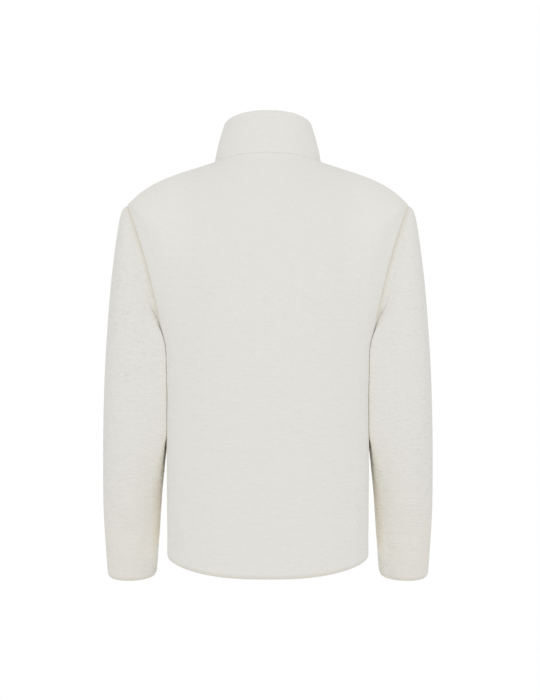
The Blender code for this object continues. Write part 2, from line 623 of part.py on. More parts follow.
# ---- Build -------------------------------------------------------------------------------------------------
def build():
    for old in list(bpy.data.objects):
        bpy.data.objects.remove(old)
    jacket = bpy.data.collections.new("sherpa_jacket")
    tools = bpy.data.collections.new("cutters")
    bpy.context.scene.collection.children.link(jacket)
    bpy.context.scene.collection.children.link(tools)
    materials = {"tape": make_material("zip_tape", ECRU_TAPE, 0.85),
                 "teeth": make_material("zip_teeth", ECRU_PLASTIC, 0.45),
                 "metal": make_material("zip_metal", PALE_METAL, 0.35, 0.9)}

    def sherpa(name):
        return make_material("sherpa_" + name, ECRU, 0.95)

    (back, back_in), (front, front_in), (sleeve, sleeve_in) = body_and_sleeves()
    collar = collar_loops(back, back_in, front, front_in)
    add_wall("back", back, back - back_in, sherpa("back"), jacket)
    add_wall("front_left", front, front - front_in, sherpa("front_left"), jacket)
    add_wall("front_right", mirrored(front), mirrored(front - front_in), sherpa("front_right"), jacket)
    add_wall("sleeve_left", sleeve, sleeve - sleeve_in, sherpa("sleeve_left"), jacket, around=True)
    add_wall("sleeve_right", mirrored(sleeve), mirrored(sleeve - sleeve_in), sherpa("sleeve_right"), jacket,
             around=True)
    add_sweep("collar", collar, sherpa("collar"), jacket)
    add_zip(front, collar, materials, jacket, tools)


build()
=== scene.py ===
"""How the sherpa fleece jacket looks: cloth, zip, light and camera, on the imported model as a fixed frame.

Metres, +Z up, front towards -Y, the wearer's left towards +X. The cloth pieces follow the same surfaces as
the solids they stand for, with finer grids that carry the fleece's crimped ripples, rolled edges and folds.
"""
import math

import bpy
import numpy as np
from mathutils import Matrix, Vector
from mathutils.bvhtree import BVHTree


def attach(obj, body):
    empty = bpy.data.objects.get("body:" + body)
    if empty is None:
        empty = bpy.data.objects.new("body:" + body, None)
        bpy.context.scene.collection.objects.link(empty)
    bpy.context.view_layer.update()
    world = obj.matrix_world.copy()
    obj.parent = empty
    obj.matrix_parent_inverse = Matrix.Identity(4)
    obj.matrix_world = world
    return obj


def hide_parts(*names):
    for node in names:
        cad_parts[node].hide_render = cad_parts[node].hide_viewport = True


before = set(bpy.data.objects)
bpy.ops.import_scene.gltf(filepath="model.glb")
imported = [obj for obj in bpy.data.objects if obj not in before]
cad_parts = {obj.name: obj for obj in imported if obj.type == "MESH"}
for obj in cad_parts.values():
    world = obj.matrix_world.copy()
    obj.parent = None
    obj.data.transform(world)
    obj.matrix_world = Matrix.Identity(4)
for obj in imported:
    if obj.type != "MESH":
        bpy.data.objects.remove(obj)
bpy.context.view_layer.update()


def table(names, *rows):
    """A small table: one named column for each word in names, one row for each tuple."""
    return dict(zip(names.split(), np.array(rows, dtype=float).T))


def rows_of(columns):
    """The rows of such a table, each with its values by name."""
    return [dict(zip(columns, row)) for row in zip(*columns.values())]


# ---- Camera, light and floor ----
CAMERA_AT = (-0.0037, 2.4, -0.3226)
LENS = 71.3
WORLD_LIGHT = 0.765
FLOOR_Z = -1.40
FLOOR_RADIUS = 1.55
FLOOR_SIDES = 96
LIGHTS = table(
    "x y z target_z size power",
    (0.35, 2.9, 0.1, -0.30, 2.0, 6.5),
    (-0.55, 2.8, 0.5, -0.30, 2.0, 5.5),
    (0.30, -2.8, 0.6, -0.30, 2.2, 13.0))


def aim(thing, target):
    direction = Vector(target) - Vector(thing.location)
    thing.rotation_euler = direction.to_track_quat("-Z", "Y").to_euler()


def add_camera():
    camera = bpy.data.objects.new("camera", bpy.data.cameras.new("camera"))
    bpy.context.scene.collection.objects.link(camera)
    camera.location = CAMERA_AT
    aim(camera, (CAMERA_AT[0], 0.0, CAMERA_AT[2]))
    camera.data.lens = LENS
    camera.data.sensor_width = 36.0
    camera.data.clip_start = 0.05
    camera.data.clip_end = 50.0
    bpy.context.scene.camera = camera


def add_world():
    """An even pale light from all round, and a white ground behind the jacket."""
    world = bpy.data.worlds.new("studio")
    bpy.context.scene.world = world
    world.use_nodes = True
    nodes, links = world.node_tree.nodes, world.node_tree.links
    nodes.clear()
    light = nodes.new("ShaderNodeBackground")
    light.inputs["Color"].default_value = (1.0, 0.995, 0.985, 1.0)
    light.inputs["Strength"].default_value = WORLD_LIGHT
    ground = nodes.new("ShaderNodeBackground")
    ground.inputs["Color"].default_value = (1.0, 1.0, 1.0, 1.0)
    path = nodes.new("ShaderNodeLightPath")
    mix = nodes.new("ShaderNodeMixShader")
    output = nodes.new("ShaderNodeOutputWorld")
    links.new(path.outputs["Is Camera Ray"], mix.inputs["Fac"])
    links.new(light.outputs[0], mix.inputs[1])
    links.new(ground.outputs[0], mix.inputs[2])
    links.new(mix.outputs[0], output.inputs["Surface"])


def add_lights():
    for number, spot in enumerate(rows_of(LIGHTS)):
        data = bpy.data.lights.new(f"softbox_{number}", "AREA")
        data.energy = spot["power"]
        data.size = spot["size"]
        light = bpy.data.objects.new(f"softbox_{number}", data)
        bpy.context.scene.collection.objects.link(light)
        light.location = (spot["x"], spot["y"], spot["z"])
        aim(light, (0.0, 0.0, spot["target_z"]))


def add_floor():
    turns = [2 * math.pi * side / FLOOR_SIDES for side in range(FLOOR_SIDES)]
    rim = [(FLOOR_RADIUS * math.cos(turn), FLOOR_RADIUS * math.sin(turn), FLOOR_Z) for turn in turns]
    mesh = bpy.data.meshes.new("floor")
    mesh.from_pydata(rim, [], [tuple(range(FLOOR_SIDES))])
    material = bpy.data.materials.new("floor")
    material.use_nodes = True
    shader = material.node_tree.nodes["Principled BSDF"]
    shader.inputs["Base Color"].default_value = (0.86, 0.86, 0.85, 1.0)
    shader.inputs["Roughness"].default_value = 0.8
    mesh.materials.append(material)
    floor = bpy.data.objects.new("floor", mesh)
    bpy.context.scene.collection.objects.link(floor)


# ---- Cloth ----
WALL = 0.005                 # backing and pile of the sherpa fleece
COLLAR_WALL = 0.008          # two layers of it, folded over at the collar's top

# ---- Body ----
NECK_POINT_X = 0.0924        # half the width of the neck at the shoulder seams, at z = 0
SHOULDER_TIP = (0.2425, -0.0703)     # x and z where the shoulder seam meets the armhole
UNDERARM = (0.1790, -0.3200)         # x and z of the lowest point of the armhole
HEM_SIDE_Z = -0.679
SIDE_SEAM = table(
    "z x",
    (-0.679, 0.1737), (-0.600, 0.1744), (-0.500, 0.1747),
    (-0.420, 0.1757), (-0.360, 0.1772), (-0.320, 0.1790))
SHOULDER_SEAM = table(
    "x z",
    (0.0924, 0.0), (0.1200, -0.0080), (0.1500, -0.0169), (0.1830, -0.0284),
    (0.2088, -0.0421), (0.2277, -0.0560), (0.2425, -0.0703))
CENTRE_BACK = table(
    "z depth",
    (-0.699, 0.1300), (-0.600, 0.1295), (-0.500, 0.1310), (-0.400, 0.1350),
    (-0.300, 0.1380), (-0.220, 0.1360), (-0.140, 0.1270), (-0.080, 0.1130),
    (-0.030, 0.0935), (0.0095, 0.0740))
CENTRE_FRONT = table(
    "z depth",
    (-0.684, 0.1300), (-0.600, 0.1300), (-0.500, 0.1320), (-0.400, 0.1360),
    (-0.300, 0.1390), (-0.220, 0.1370), (-0.140, 0.1270), (-0.080, 0.1085),
    (-0.030, 0.0850))
# Rows run from the hem (stage 0) past the underarm (1) and the shoulder tip (2) to the neckline (3).
ROW_STAGES = table(
    "stage back_z front_z roundness",
    (0, -0.699, -0.684, 2.55), (1, -0.350, -0.350, 2.65),
    (2, -0.140, -0.165, 2.15), (3, 0.0095, -0.030, 2.05))
ARMHOLE = {"back": {"width": 0.062, "hollow": 0.0098}, "front": {"width": 0.060, "hollow": 0.0150}}
ARMHOLE_BLUNTNESS = {"tip": 0.88, "underarm": 0.52}      # under 1, the armhole is broader near that end
RELAX_ROUNDS = 26            # evens out the cloth between the seams that hold it
SIDE_ROWS = 12
ARMHOLE_ROWS = 11
SHOULDER_ROWS = 7
BACK_COLUMNS = 24
FRONT_COLUMNS = 12

# ---- Sleeve: sections from the armhole to the cuff, each from an inner to an outer point ----
SLEEVE = table(
    "inner_x inner_z outer_x outer_z centre_y half_depth",
    (0.1790, -0.3200, 0.2425, -0.0703, 0.0010, 0.0570),
    (0.1806, -0.3243, 0.2487, -0.0765, 0.0010, 0.0585),
    (0.1808, -0.3290, 0.2532, -0.0860, 0.0005, 0.0605),
    (0.1806, -0.3335, 0.2572, -0.1030, 0.0000, 0.0630),
    (0.1801, -0.3385, 0.2613, -0.1290, -0.0005, 0.0655),
    (0.1794, -0.3450, 0.2657, -0.1620, -0.0010, 0.0680),
    (0.1787, -0.3540, 0.2700, -0.1990, -0.0015, 0.0700),
    (0.1781, -0.3660, 0.2738, -0.2380, -0.0025, 0.0710),
    (0.1774, -0.3830, 0.2772, -0.2800, -0.0040, 0.0710),
    (0.1768, -0.4060, 0.2802, -0.3240, -0.0055, 0.0695),
    (0.1764, -0.4340, 0.2828, -0.3700, -0.0075, 0.0670),
    (0.1765, -0.4640, 0.2847, -0.4180, -0.0105, 0.0640),
    (0.1777, -0.4950, 0.2862, -0.4670, -0.0145, 0.0600),
    (0.1806, -0.5290, 0.2873, -0.5160, -0.0200, 0.0550),
    (0.1842, -0.5650, 0.2880, -0.5620, -0.0270, 0.0505),
    (0.1872, -0.6000, 0.2881, -0.6010, -0.0335, 0.0465),
    (0.1898, -0.6350, 0.2870, -0.6370, -0.0400, 0.0430),
    (0.1922, -0.6650, 0.2856, -0.6670, -0.0455, 0.0400),
    (0.1945, -0.6930, 0.2843, -0.6950, -0.0505, 0.0375),
    (0.1972, -0.7190, 0.2830, -0.7210, -0.0550, 0.0350))
CUFF_TILT = 0.20             # the cuff's rear edge hangs lower by this share of the depth: the forearm leans
CUFF_TILT_SECTIONS = 7       # sections above the cuff over which that tilt comes in
# How square the section is: at its outer side, where it lies against the body, at the cuff's inner side.
SLEEVE_ROUNDNESS = {"outer": 2.15, "inner": 6.0, "cuff": 2.6}
LYING_SECTIONS = (0, 5, 11, 14)      # it comes in between the first two, and goes out between the last two
# How far the sleeve reaches round the body's side, by the angle from its inner line to the back or the front.
LYING_REACH = table(
    "turn reach",
    (0, 0), (16.4, 0.0050), (32.7, 0.0125), (49.1, 0.0090), (65.5, 0.0038), (90, 0))
REACHING_SECTIONS = (0.7, 4.3, 11, 13)   # sections over which that comes in and goes out
# Broad soft troughs of the sleeve: the section where each crosses its middle, and the angle round the sleeve
# (0 outer, 90 back).
SLEEVE_FOLDS = table(
    "section angle run spread depth slant",
    (7.5, 118, 0.055, 0.016, 0.0035, 38), (6.0, 236, 0.060, 0.018, 0.0030, -34),
    (12.0, 250, 0.050, 0.017, 0.0040, 12), (13.5, 285, 0.045, 0.016, 0.0030, -22),
    (15.6, 70, 0.045, 0.015, 0.0025, 40), (16.4, 110, 0.040, 0.014, 0.0025, 15))
FOLD_ROW_LENGTH = 0.034      # length of sleeve that a section stands for, in the folds' own measure
FOLDS_FROM = 3               # first section that they reach
HOLLOW_SECTIONS = 4          # sections over which the armhole's hollow goes out of the sleeve

# ---- Collar ----
COLLAR_TOP = {"half_width": 0.0748, "back_y": 0.0620, "front_y": 0.0700,
              "back_z": 0.0832, "side_z": 0.0660, "front_z": 0.0450}
COLLAR_SWELL = 0.0015

# ---- Zip ----
ZIP_SLOT = 0.0140            # between the two front edges
TAPE_DEPTH = 0.0062          # the tapes' middle, behind the outer face of the fronts
TAPE_THICKNESS = 0.0010
TAPE_INNER = 0.0032          # half the distance between the tapes
TAPE_OUTER_FRONT = 0.0150    # where the tapes lie behind the fronts
TAPE_OUTER_COLLAR = 0.0066   # where they run between the collar's two ends
SLIDER_FROM_TOP = 0.0120     # the slider's middle, below the collar's top edge
TAPE_NARROWS = (0.0090, 0.0050)      # below the neck seam, from the one width to the other
TAPE_FROM_HEM = 0.0006
TAPE_FROM_TOP = 0.0020
BOX_WIDTH = 0.0090
BOX_TOP = 0.0122             # above the hem, along the zip
BOX_TAPER = 0.0010           # over which the tapes draw together above the retainer
FIT = 0.00035


# ---- Helpers ----
def curve(t, start, leave, end, arrive):
    """A smooth curve from start (t = 0) to end (t = 1), for the slopes with which it leaves and arrives."""
    return ((2 * t**3 - 3 * t**2 + 1) * start + (t**3 - 2 * t**2 + t) * leave
            + (3 * t**2 - 2 * t**3) * end + (t**3 - t**2) * arrive)


def smooth(columns, key, value, at):
    """Read a column of a table at any key, on a smooth curve through its rows."""
    keys, values = columns[key], columns[value]
    slopes = np.gradient(values, keys)
    at = np.clip(at, keys[0], keys[-1])
    row = np.clip(np.searchsorted(keys, at, side="right") - 1, 0, len(keys) - 2)
    step = keys[row + 1] - keys[row]
    t = (at - keys[row]) / step
    return curve(t, values[row], step * slopes[row], values[row + 1], step * slopes[row + 1])


def eased(value, none, all_of_it):
    """0 at one value, 1 at the other, on a smooth curve between them."""
    share = np.clip((value - none) / (all_of_it - none), 0.0, 1.0)
    return share * share * (3 - 2 * share)


def unit(vectors):
    return vectors / np.linalg.norm(vectors, axis=-1, keepdims=True)


def grid_normals(grid, around=False):
    """Unit normals of a grid of points, on the side of rows crossed with columns."""
    along = np.gradient(grid, axis=0)
    if around:
        across = (np.roll(grid, -1, axis=1) - np.roll(grid, 1, axis=1)) / 2
    else:
        across = np.gradient(grid, axis=1)
    return unit(np.cross(along, across))


def mirrored(points):
    return points * np.array((-1.0, 1.0, 1.0))


# ---- Body surface, as the solids have it ----
def armhole_point(face, angle):
    """The armhole seam: angle 0 at the shoulder tip, pi at the underarm, on the back or the front."""
    size = ARMHOLE[face]
    height = (1 + math.cos(angle)) / 2
    bulge = math.sin(angle)
    x = UNDERARM[0] + (SHOULDER_TIP[0] - UNDERARM[0]) * height - size["hollow"] * bulge**2
    z = UNDERARM[1] + (SHOULDER_TIP[1] - UNDERARM[1]) * height
    low, high = ARMHOLE_BLUNTNESS["underarm"], ARMHOLE_BLUNTNESS["tip"]
    power = low + (high - low) * height
    y = size["width"] * max(bulge, 0.0) ** power
    return x, y if face == "back" else -y, z


def body_edge(face, stage):
    """The outer edge of a body panel: side seam, armhole and shoulder seam, one after the other."""
    if stage <= 1:
        z = HEM_SIDE_Z + (UNDERARM[1] - HEM_SIDE_Z) * stage
        return float(smooth(SIDE_SEAM, "z", "x", z)), 0.0, z
    if stage <= 2:
        return armhole_point(face, math.pi * (2 - stage))
    x = SHOULDER_TIP[0] + (NECK_POINT_X - SHOULDER_TIP[0]) * (stage - 2)
    return x, 0.0, float(smooth(SHOULDER_SEAM, "x", "z", x))


def body_row(face, stage, shares, start_x=0.0):
    """One row of a panel, from start_x (share 0) to the panel's outer edge (share 1), as half an oval."""
    edge_x, edge_y, edge_z = body_edge(face, stage)
    centre_z = np.interp(stage, ROW_STAGES["stage"], ROW_STAGES[face + "_z"])
    power = np.interp(stage, ROW_STAGES["stage"], ROW_STAGES["roundness"])
    profile = CENTRE_BACK if face == "back" else CENTRE_FRONT
    depth = float(smooth(profile, "z", "depth", centre_z))
    last_turn = math.acos((abs(edge_y) / depth) ** (power / 2))
    half_width = edge_x / math.sin(last_turn) ** (2 / power)
    first_turn = math.asin((start_x / half_width) ** (power / 2))
    turn = first_turn + (last_turn - first_turn) * np.asarray(shares)
    x = half_width * np.sin(turn) ** (2 / power)
    y = depth * np.clip(np.cos(turn), 0.0, 1.0) ** (2 / power)
    z = edge_z + (centre_z - edge_z) * np.cos(math.pi / 2 * turn / last_turn) ** 2
    return np.stack((x, y if face == "back" else -y, z), axis=-1)


def body_stages():
    side = np.linspace(0, 1, SIDE_ROWS, endpoint=False)
    armhole = np.linspace(1, 2, ARMHOLE_ROWS, endpoint=False)
    shoulder = np.linspace(2, 3, SHOULDER_ROWS + 1)
    return np.concatenate((side, armhole, shoulder))


def relaxed(grid):
    """The same grid with its inner points evened out, and its edges and volume kept."""
    grid = grid.copy()
    for _ in range(RELAX_ROUNDS):
        for share in (0.50, -0.52):
            middle = (grid[:-2, 1:-1] + grid[2:, 1:-1] + grid[1:-1, :-2] + grid[1:-1, 2:]) / 4
            grid[1:-1, 1:-1] += share * (middle - grid[1:-1, 1:-1])
    return grid


def back_grid():
    """Rows from the hem up, columns from the wearer's right (-X) to the left (+X)."""
    shares = np.linspace(0, 1, BACK_COLUMNS // 2 + 1)
    left = np.array([body_row("back", stage, shares) for stage in body_stages()])
    return relaxed(np.concatenate((mirrored(left[:, :0:-1]), left), axis=1))


def front_grid():
    """The left front: rows from the hem up, columns from the side to the zip."""
    shares = np.linspace(1, 0, FRONT_COLUMNS + 1)
    return relaxed(np.array([body_row("front", stage, shares, ZIP_SLOT / 2) for stage in body_stages()]))


# ---- Sleeve surface ----
def sleeve_angles():
    """Round the sleeve from the outer line (0) by the back (90 degrees), one for each row of the armhole."""
    return np.arange(2 * ARMHOLE_ROWS) * math.pi / ARMHOLE_ROWS


def sleeve_powers(section, angles):
    """How square the sleeve's section is at each angle: flatter on the side that lies against the body."""
    sizes = [SLEEVE_ROUNDNESS[name] for name in ("outer", "inner", "inner", "cuff")]
    inner = np.interp(section, LYING_SECTIONS, sizes)
    return SLEEVE_ROUNDNESS["outer"] + (inner - SLEEVE_ROUNDNESS["outer"]) * (1 - np.cos(angles)) / 2


def sleeve_reaches(section, angles):
    """How far the sleeve lies round the body's side at each angle."""
    turns = np.degrees(np.abs(math.pi - angles))
    come_in = np.interp(section, REACHING_SECTIONS, (0, 1, 1, 0))
    return come_in * np.interp(turns, LYING_REACH["turn"], LYING_REACH["reach"])


def trough(fold, right, up):
    """Depth of a soft fold, at distances to the right of its middle and up from it."""
    slant = math.radians(fold["slant"])
    run = right * math.cos(slant) + up * math.sin(slant)
    off = up * math.cos(slant) - right * math.sin(slant)
    return fold["depth"] * np.exp(-(run / fold["run"])**2 - (off / fold["spread"])**2)


def sleeve_folds(folds, section, angle, radius):
    """How far the soft folds of a table press the sleeve in, at sections and angles round it."""
    pressed = 0.0
    for fold in rows_of(folds):
        turn = (angle - math.radians(fold["angle"]) + math.pi) % (2 * math.pi) - math.pi
        pressed = pressed + trough(fold, turn * radius, (section - fold["section"]) * FOLD_ROW_LENGTH)
    return pressed


def sleeve_radii():
    """A mean radius of each section."""
    return (SLEEVE["outer_x"] - SLEEVE["inner_x"] + 2 * SLEEVE["half_depth"]) / 4


def sleeve_grid():
    """The left sleeve: rows from the armhole to the cuff, columns round it."""
    last = len(SLEEVE["inner_x"]) - 1
    angles = sleeve_angles()
    rows = []
    for section, size in enumerate(rows_of(SLEEVE)):
        height = (1 + np.cos(angles)) / 2
        bulge = np.abs(np.sin(angles)) ** (2 / sleeve_powers(section, angles)) * np.sign(np.sin(angles))
        x = size["inner_x"] + (size["outer_x"] - size["inner_x"]) * height - sleeve_reaches(section, angles)
        z = size["inner_z"] + (size["outer_z"] - size["inner_z"]) * height
        y = size["centre_y"] + size["half_depth"] * bulge
        tilt = CUFF_TILT * max(0.0, 1 - (last - section) / CUFF_TILT_SECTIONS)
        rows.append(np.stack((x, y, z - tilt * size["half_depth"] * np.sin(angles)), axis=-1))
    grid = np.array(rows)
    for column, angle in enumerate(angles):
        turn = min(angle, 2 * math.pi - angle)
        grid[0, column] = armhole_point("back" if angle <= math.pi else "front", turn)
    for section in range(1, HOLLOW_SECTIONS):
        hollow = ARMHOLE["back"]["hollow"] * (1 - section / HOLLOW_SECTIONS) ** 2
        grid[section, :, 0] -= hollow * np.sin(angles) ** 2
    outward = grid_normals(grid, around=True)
    radii = sleeve_radii()
    for section in range(FOLDS_FROM, last):
        pressed = sleeve_folds(SLEEVE_FOLDS, section, angles, radii[section])
        grid[section] -= outward[section] * pressed[:, None]
    return grid


# ---- Seams ----
def shared_rim(first, second, thickness):
    """The vector that leads in through a seam, for two walls with these outward normals."""
    middle = unit(first + second)
    slope = np.sum(first * middle, axis=-1, keepdims=True)
    return middle * thickness / np.clip(slope, 0.6, 1.0)


def body_and_sleeves():
    """Outer grids and inward vectors of back, left front and left sleeve, with shared rims at the seams."""
    back, front, sleeve = back_grid(), front_grid(), sleeve_grid()
    back_in = WALL * grid_normals(back)
    front_in = WALL * grid_normals(front)
    sleeve_in = WALL * grid_normals(sleeve, around=True)
    first, last = SIDE_ROWS, SIDE_ROWS + ARMHOLE_ROWS
    front_in[:, -1, 0] = 0.0
    seam_rows = [row for row in range(len(back)) if row <= first or row >= last]
    seam_in = WALL * unit((back_in[seam_rows, -1] + front_in[seam_rows, 0]) * (1.0, 0.0, 1.0))
    back_in[seam_rows, -1] = seam_in
    back_in[seam_rows, 0] = mirrored(seam_in)
    front_in[seam_rows, 0] = seam_in
    sleeve_out = unit(sleeve_in[0])
    for step in range(ARMHOLE_ROWS + 1):
        row = last - step
        rim = shared_rim(unit(back_in[row, -1]), sleeve_out[step], WALL)
        back_in[row, -1] = rim
        back_in[row, 0] = mirrored(rim)
        sleeve_in[0, step] = rim
        place = -step % (2 * ARMHOLE_ROWS)
        rim = shared_rim(unit(front_in[row, 0]), sleeve_out[place], WALL)
        front_in[row, 0] = rim
        if 0 < step < ARMHOLE_ROWS:
            sleeve_in[0, place] = rim
    return (back, back_in), (front, front_in), (sleeve, sleeve_in)


# ---- Finer grids ----
ALONG_STEP = 0.00135         # between fine rows: a crimp takes more than three
ACROSS_STEP = 0.0054
SLEEVE_STEP = {"along": 0.0019, "around": 0.0030}
COLLAR_STEP = 0.0024
EDGE_STEPS = 8               # fine columns in the first coarse one beside a seam, closer towards it
EDGE_EASE = 1.6
INNER_STEP = 4               # the inner face has one row for so many outer ones

# ---- Fleece ----
CRIMP_HEIGHT = {"body": 0.00030, "sleeve": 0.00042, "collar": 0.00020}
CRIMP_PITCH = {"body": 0.0046, "sleeve": 0.0058, "collar": 0.0046}
# Layers of noise in the ripples: cell size across and along the cloth, and how much each has of its effect.
CRIMP_BENDS = table("across along share", (0.0180, 0.0130, 0.0020), (0.0600, 0.0500, 0.0040))
CRIMP_CURLS = {"body": table("across along share", (0.0120, 0.0030, 0.40)),
               "sleeve": table("across along share", (0.0100, 0.0050, 0.25)),
               "collar": table("across along share", (0.0110, 0.0026, 0.45), (0.0050, 0.0019, 0.30))}
# Noise that breaks the ripples off, and that makes them stronger and weaker in patches.
CRIMP_BREAKS = {"mean": 0.45, "share": 0.90, "across": 0.0150, "along": 0.0060}
CRIMP_PATCHES = {"mean": 1.00, "share": 0.45, "across": 0.0600, "along": 0.0450}
CALM = {"seam": 0.0050, "collar": 0.0040}                # the ripples come in over this distance
CALM_LYING = 0.90                                        # share that they lose where the cloth is pressed on
CALM_SHOULDERS = {"from_z": -0.230, "over": 0.160, "share": 0.75}
CALM_CAP = {"kept": 0.45, "sections": (3.0, 9.0)}        # they grow from that share down the sleeve

# Rolls turn the cloth down at a seam or edge. In every pair of values a share is 0 at the first and 1 at the
# second.
SEAM_ROLL = {"radius": 0.0070, "drop": 0.0015}
COLLAR_ROLL = {"radius": 0.0060, "drop": 0.0006}
COLLAR_INNER_ROLL = {"radius": 0.0040, "drop": 0.0014}
ZIP_EDGE_ROLL = {"radius": 0.0045, "drop": 0.0024}
CAP_ROLL = {"radius": 0.0170, "drop": 0.0032, "plain": True, "turns": (75.0, 40.0)}
HEM_ROLL = {"radius": 0.0100, "drop": 0.0042}
ARMHOLE_SWELL = {"rise": 0.0020, "from_seam": 0.011, "spread": 0.012,
                 "comes_in": (0.12, 0.45), "goes_out": (1.0, 0.75)}
STITCH_LINE = {"from_edge": 0.0065, "spread": 0.0013, "drop": 0.0007}

# Colour factors of the pile. Painted shade, darker and warmer: beside a seam, on a turned edge. Painted
# light, paler:
# where body and sleeve lie on each other, on the body's flanks and along the neckline, and on the forearm's
# inner side.
# Low on the sleeve, a warmer tone.
PAINTED_LIGHT_AND_TONE = {"seam": (0.955, 0.925, 0.868), "edge": (0.925, 0.895, 0.845), "lying": (1.040, 1.020, 0.985),
         "low": (1.000, 0.986, 0.965), "flank": (1.030, 1.030, 1.024), "inner": (1.030, 1.040, 1.050)}
PAINTED_LIGHT_REACH = {"seam": 0.0090, "side": 0.0022, "edge": 0.0085}
# Painted light: the back and fronts grow paler from the first to the second distance off the middle.
FLANK_X = (0.110, 0.170)
# Where sleeve and body lie on each other the ripples calm, and painted light makes the pile paler.
LYING = {"body": 0.050, "below_underarm": 0.020, "sleeve_turn": 46.0, "soft": 0.35, "sections": (19.5, 16.0)}
LOW_SECTIONS = (8.0, 19.0)
# Painted light, paler and cooler, on the forearm's inner side that faces the body.
INNER_SIDE = {"turns": (62.0, 38.0), "sections": (10.5, 13.0)}

# The sleeve is pressed against the body with this room, over these sections: fully up to one turn from its
# inner line, and not at all past another.
PRESSED = {"room": 0.00035, "starts": (0.3, 1.2), "ends": (11.8, 10.8)}
PRESSED_TURNS = table("section full none", (4, 46, 76), (7, 31, 52))
PRESSING_RAY = {"from_outside": 0.01, "length": 0.04}

# Seeds of the noise in each cloth piece.
SEEDS = {"back": 11, "front_left": 23, "front_right": 37, "sleeve_left": 41, "sleeve_right": 59, "collar": 71}

# Finer soft folds of the left and the right sleeve, in the measure of SLEEVE_FOLDS; below 0 is a ridge.
LEFT_SLEEVE_CREASES = table(
    "section angle run spread depth slant",
    (6.3, 128, 0.030, 0.0065, 0.0011, 42), (8.3, 135, 0.026, 0.0060, 0.0009, 30),
    (7.4, 100, 0.028, 0.0090, -0.0009, 40),
    (15.0, 62, 0.024, 0.0060, 0.0010, 46), (15.9, 92, 0.024, 0.0060, 0.0011, 18),
    (16.6, 118, 0.020, 0.0065, 0.0008, -12), (15.5, 112, 0.022, 0.0085, -0.0008, 20),
    (12.6, 262, 0.028, 0.0065, 0.0013, 8), (11.4, 244, 0.024, 0.0060, 0.0010, 20),
    (13.2, 292, 0.022, 0.0065, 0.0010, -18), (5.4, 232, 0.030, 0.0070, 0.0010, -36))
RIGHT_SLEEVE_CREASES = table(
    "section angle run spread depth slant",
    (6.5, 125, 0.028, 0.0065, 0.0010, 44), (8.0, 138, 0.024, 0.0060, 0.0008, 32),
    (7.2, 98, 0.030, 0.0090, -0.0009, 38),
    (14.8, 66, 0.022, 0.0060, 0.0008, 44), (16.2, 96, 0.026, 0.0065, 0.0010, 14),
    (17.0, 112, 0.018, 0.0060, 0.0008, -8), (15.6, 108, 0.022, 0.0085, -0.0007, 22),
    (12.3, 258, 0.030, 0.0065, 0.0012, 10), (11.0, 246, 0.022, 0.0060, 0.0009, 24),
    (13.5, 288, 0.024, 0.0065, 0.0011, -16), (5.7, 235, 0.028, 0.0070, 0.0009, -38))
# Soft folds of the back and the fronts: place, length, width, depth (below 0 is a ridge), slant from level.
BACK_FOLDS = table(
    "x z run spread depth slant",
    (0.159, -0.625, 0.050, 0.009, 0.0018, 88), (-0.159, -0.622, 0.046, 0.009, 0.0017, 92),
    (0.128, -0.652, 0.030, 0.018, -0.0014, 70), (-0.128, -0.650, 0.030, 0.018, -0.0013, 110),
    (0.150, -0.360, 0.050, 0.012, 0.0012, 118), (-0.150, -0.362, 0.048, 0.012, 0.0012, 62))
FRONT_FOLDS = table(
    "x z run spread depth slant",
    (0.150, -0.610, 0.050, 0.010, 0.0016, 86), (0.118, -0.640, 0.030, 0.018, -0.0012, 72),
    (0.148, -0.365, 0.055, 0.013, 0.0016, 122), (0.118, -0.420, 0.060, 0.014, 0.0011, 118),
    (0.100, -0.150, 0.050, 0.014, 0.0012, 60))


def cells(lengths, step, close_ends=False):
    """Cell number and share inside it for each fine line that divides coarse cells of these lengths."""
    numbers, shares = [], []
    for cell, length in enumerate(lengths):
        closer = close_ends and cell in (0, len(lengths) - 1)
        count = EDGE_STEPS if closer else INNER_STEP * max(1, round(length / step / INNER_STEP))
        share = np.arange(count) / count
        if closer:
            share = share ** EDGE_EASE if cell == 0 else 1 - (1 - share) ** EDGE_EASE
        numbers.append(np.full(count, cell))
        shares.append(share)
    numbers.append([len(lengths) - 1])
    shares.append([1.0])
    return np.concatenate(numbers), np.concatenate(shares)


def finer(points, leave, arrive, at):
    """Points on smooth curves through the rows of points, for the slopes with which they leave and arrive."""
    cell, share = at
    t = share.reshape((-1,) + (1,) * (points.ndim - 1))
    return curve(t, points[cell], leave[cell], points[cell + 1], arrive[cell + 1])


def finer_plain(points, at):
    slopes = np.gradient(points, axis=0)
    return finer(points, slopes, slopes, at)


def row_lengths(grid):
    return np.linalg.norm(np.diff(grid, axis=0), axis=-1).max(axis=1)


def finer_panel(grid, inward, loop_slopes, edges):
    """A body panel's fine outer grid and inward vectors; underarm and shoulder tip stay corners."""
    leave = np.gradient(grid, axis=0)
    arrive = leave.copy()
    first, last = SIDE_ROWS, SIDE_ROWS + ARMHOLE_ROWS
    for column, (at_underarm, at_tip) in zip(edges, loop_slopes):
        arrive[first, column] = grid[first, column] - grid[first - 1, column]
        leave[first, column] = at_underarm
        arrive[last, column] = at_tip
        leave[last, column] = grid[last + 1, column] - grid[last, column]
    rows_at = cells(row_lengths(grid), ALONG_STEP)
    tall = finer(grid, leave, arrive, rows_at)
    tall_in = finer_plain(inward, rows_at)
    columns_at = cells(row_lengths(grid.transpose(1, 0, 2)), ACROSS_STEP, close_ends=True)
    fine = finer_plain(tall.transpose(1, 0, 2), columns_at).transpose(1, 0, 2)
    fine_in = finer_plain(tall_in.transpose(1, 0, 2), columns_at).transpose(1, 0, 2)
    return fine, fine_in


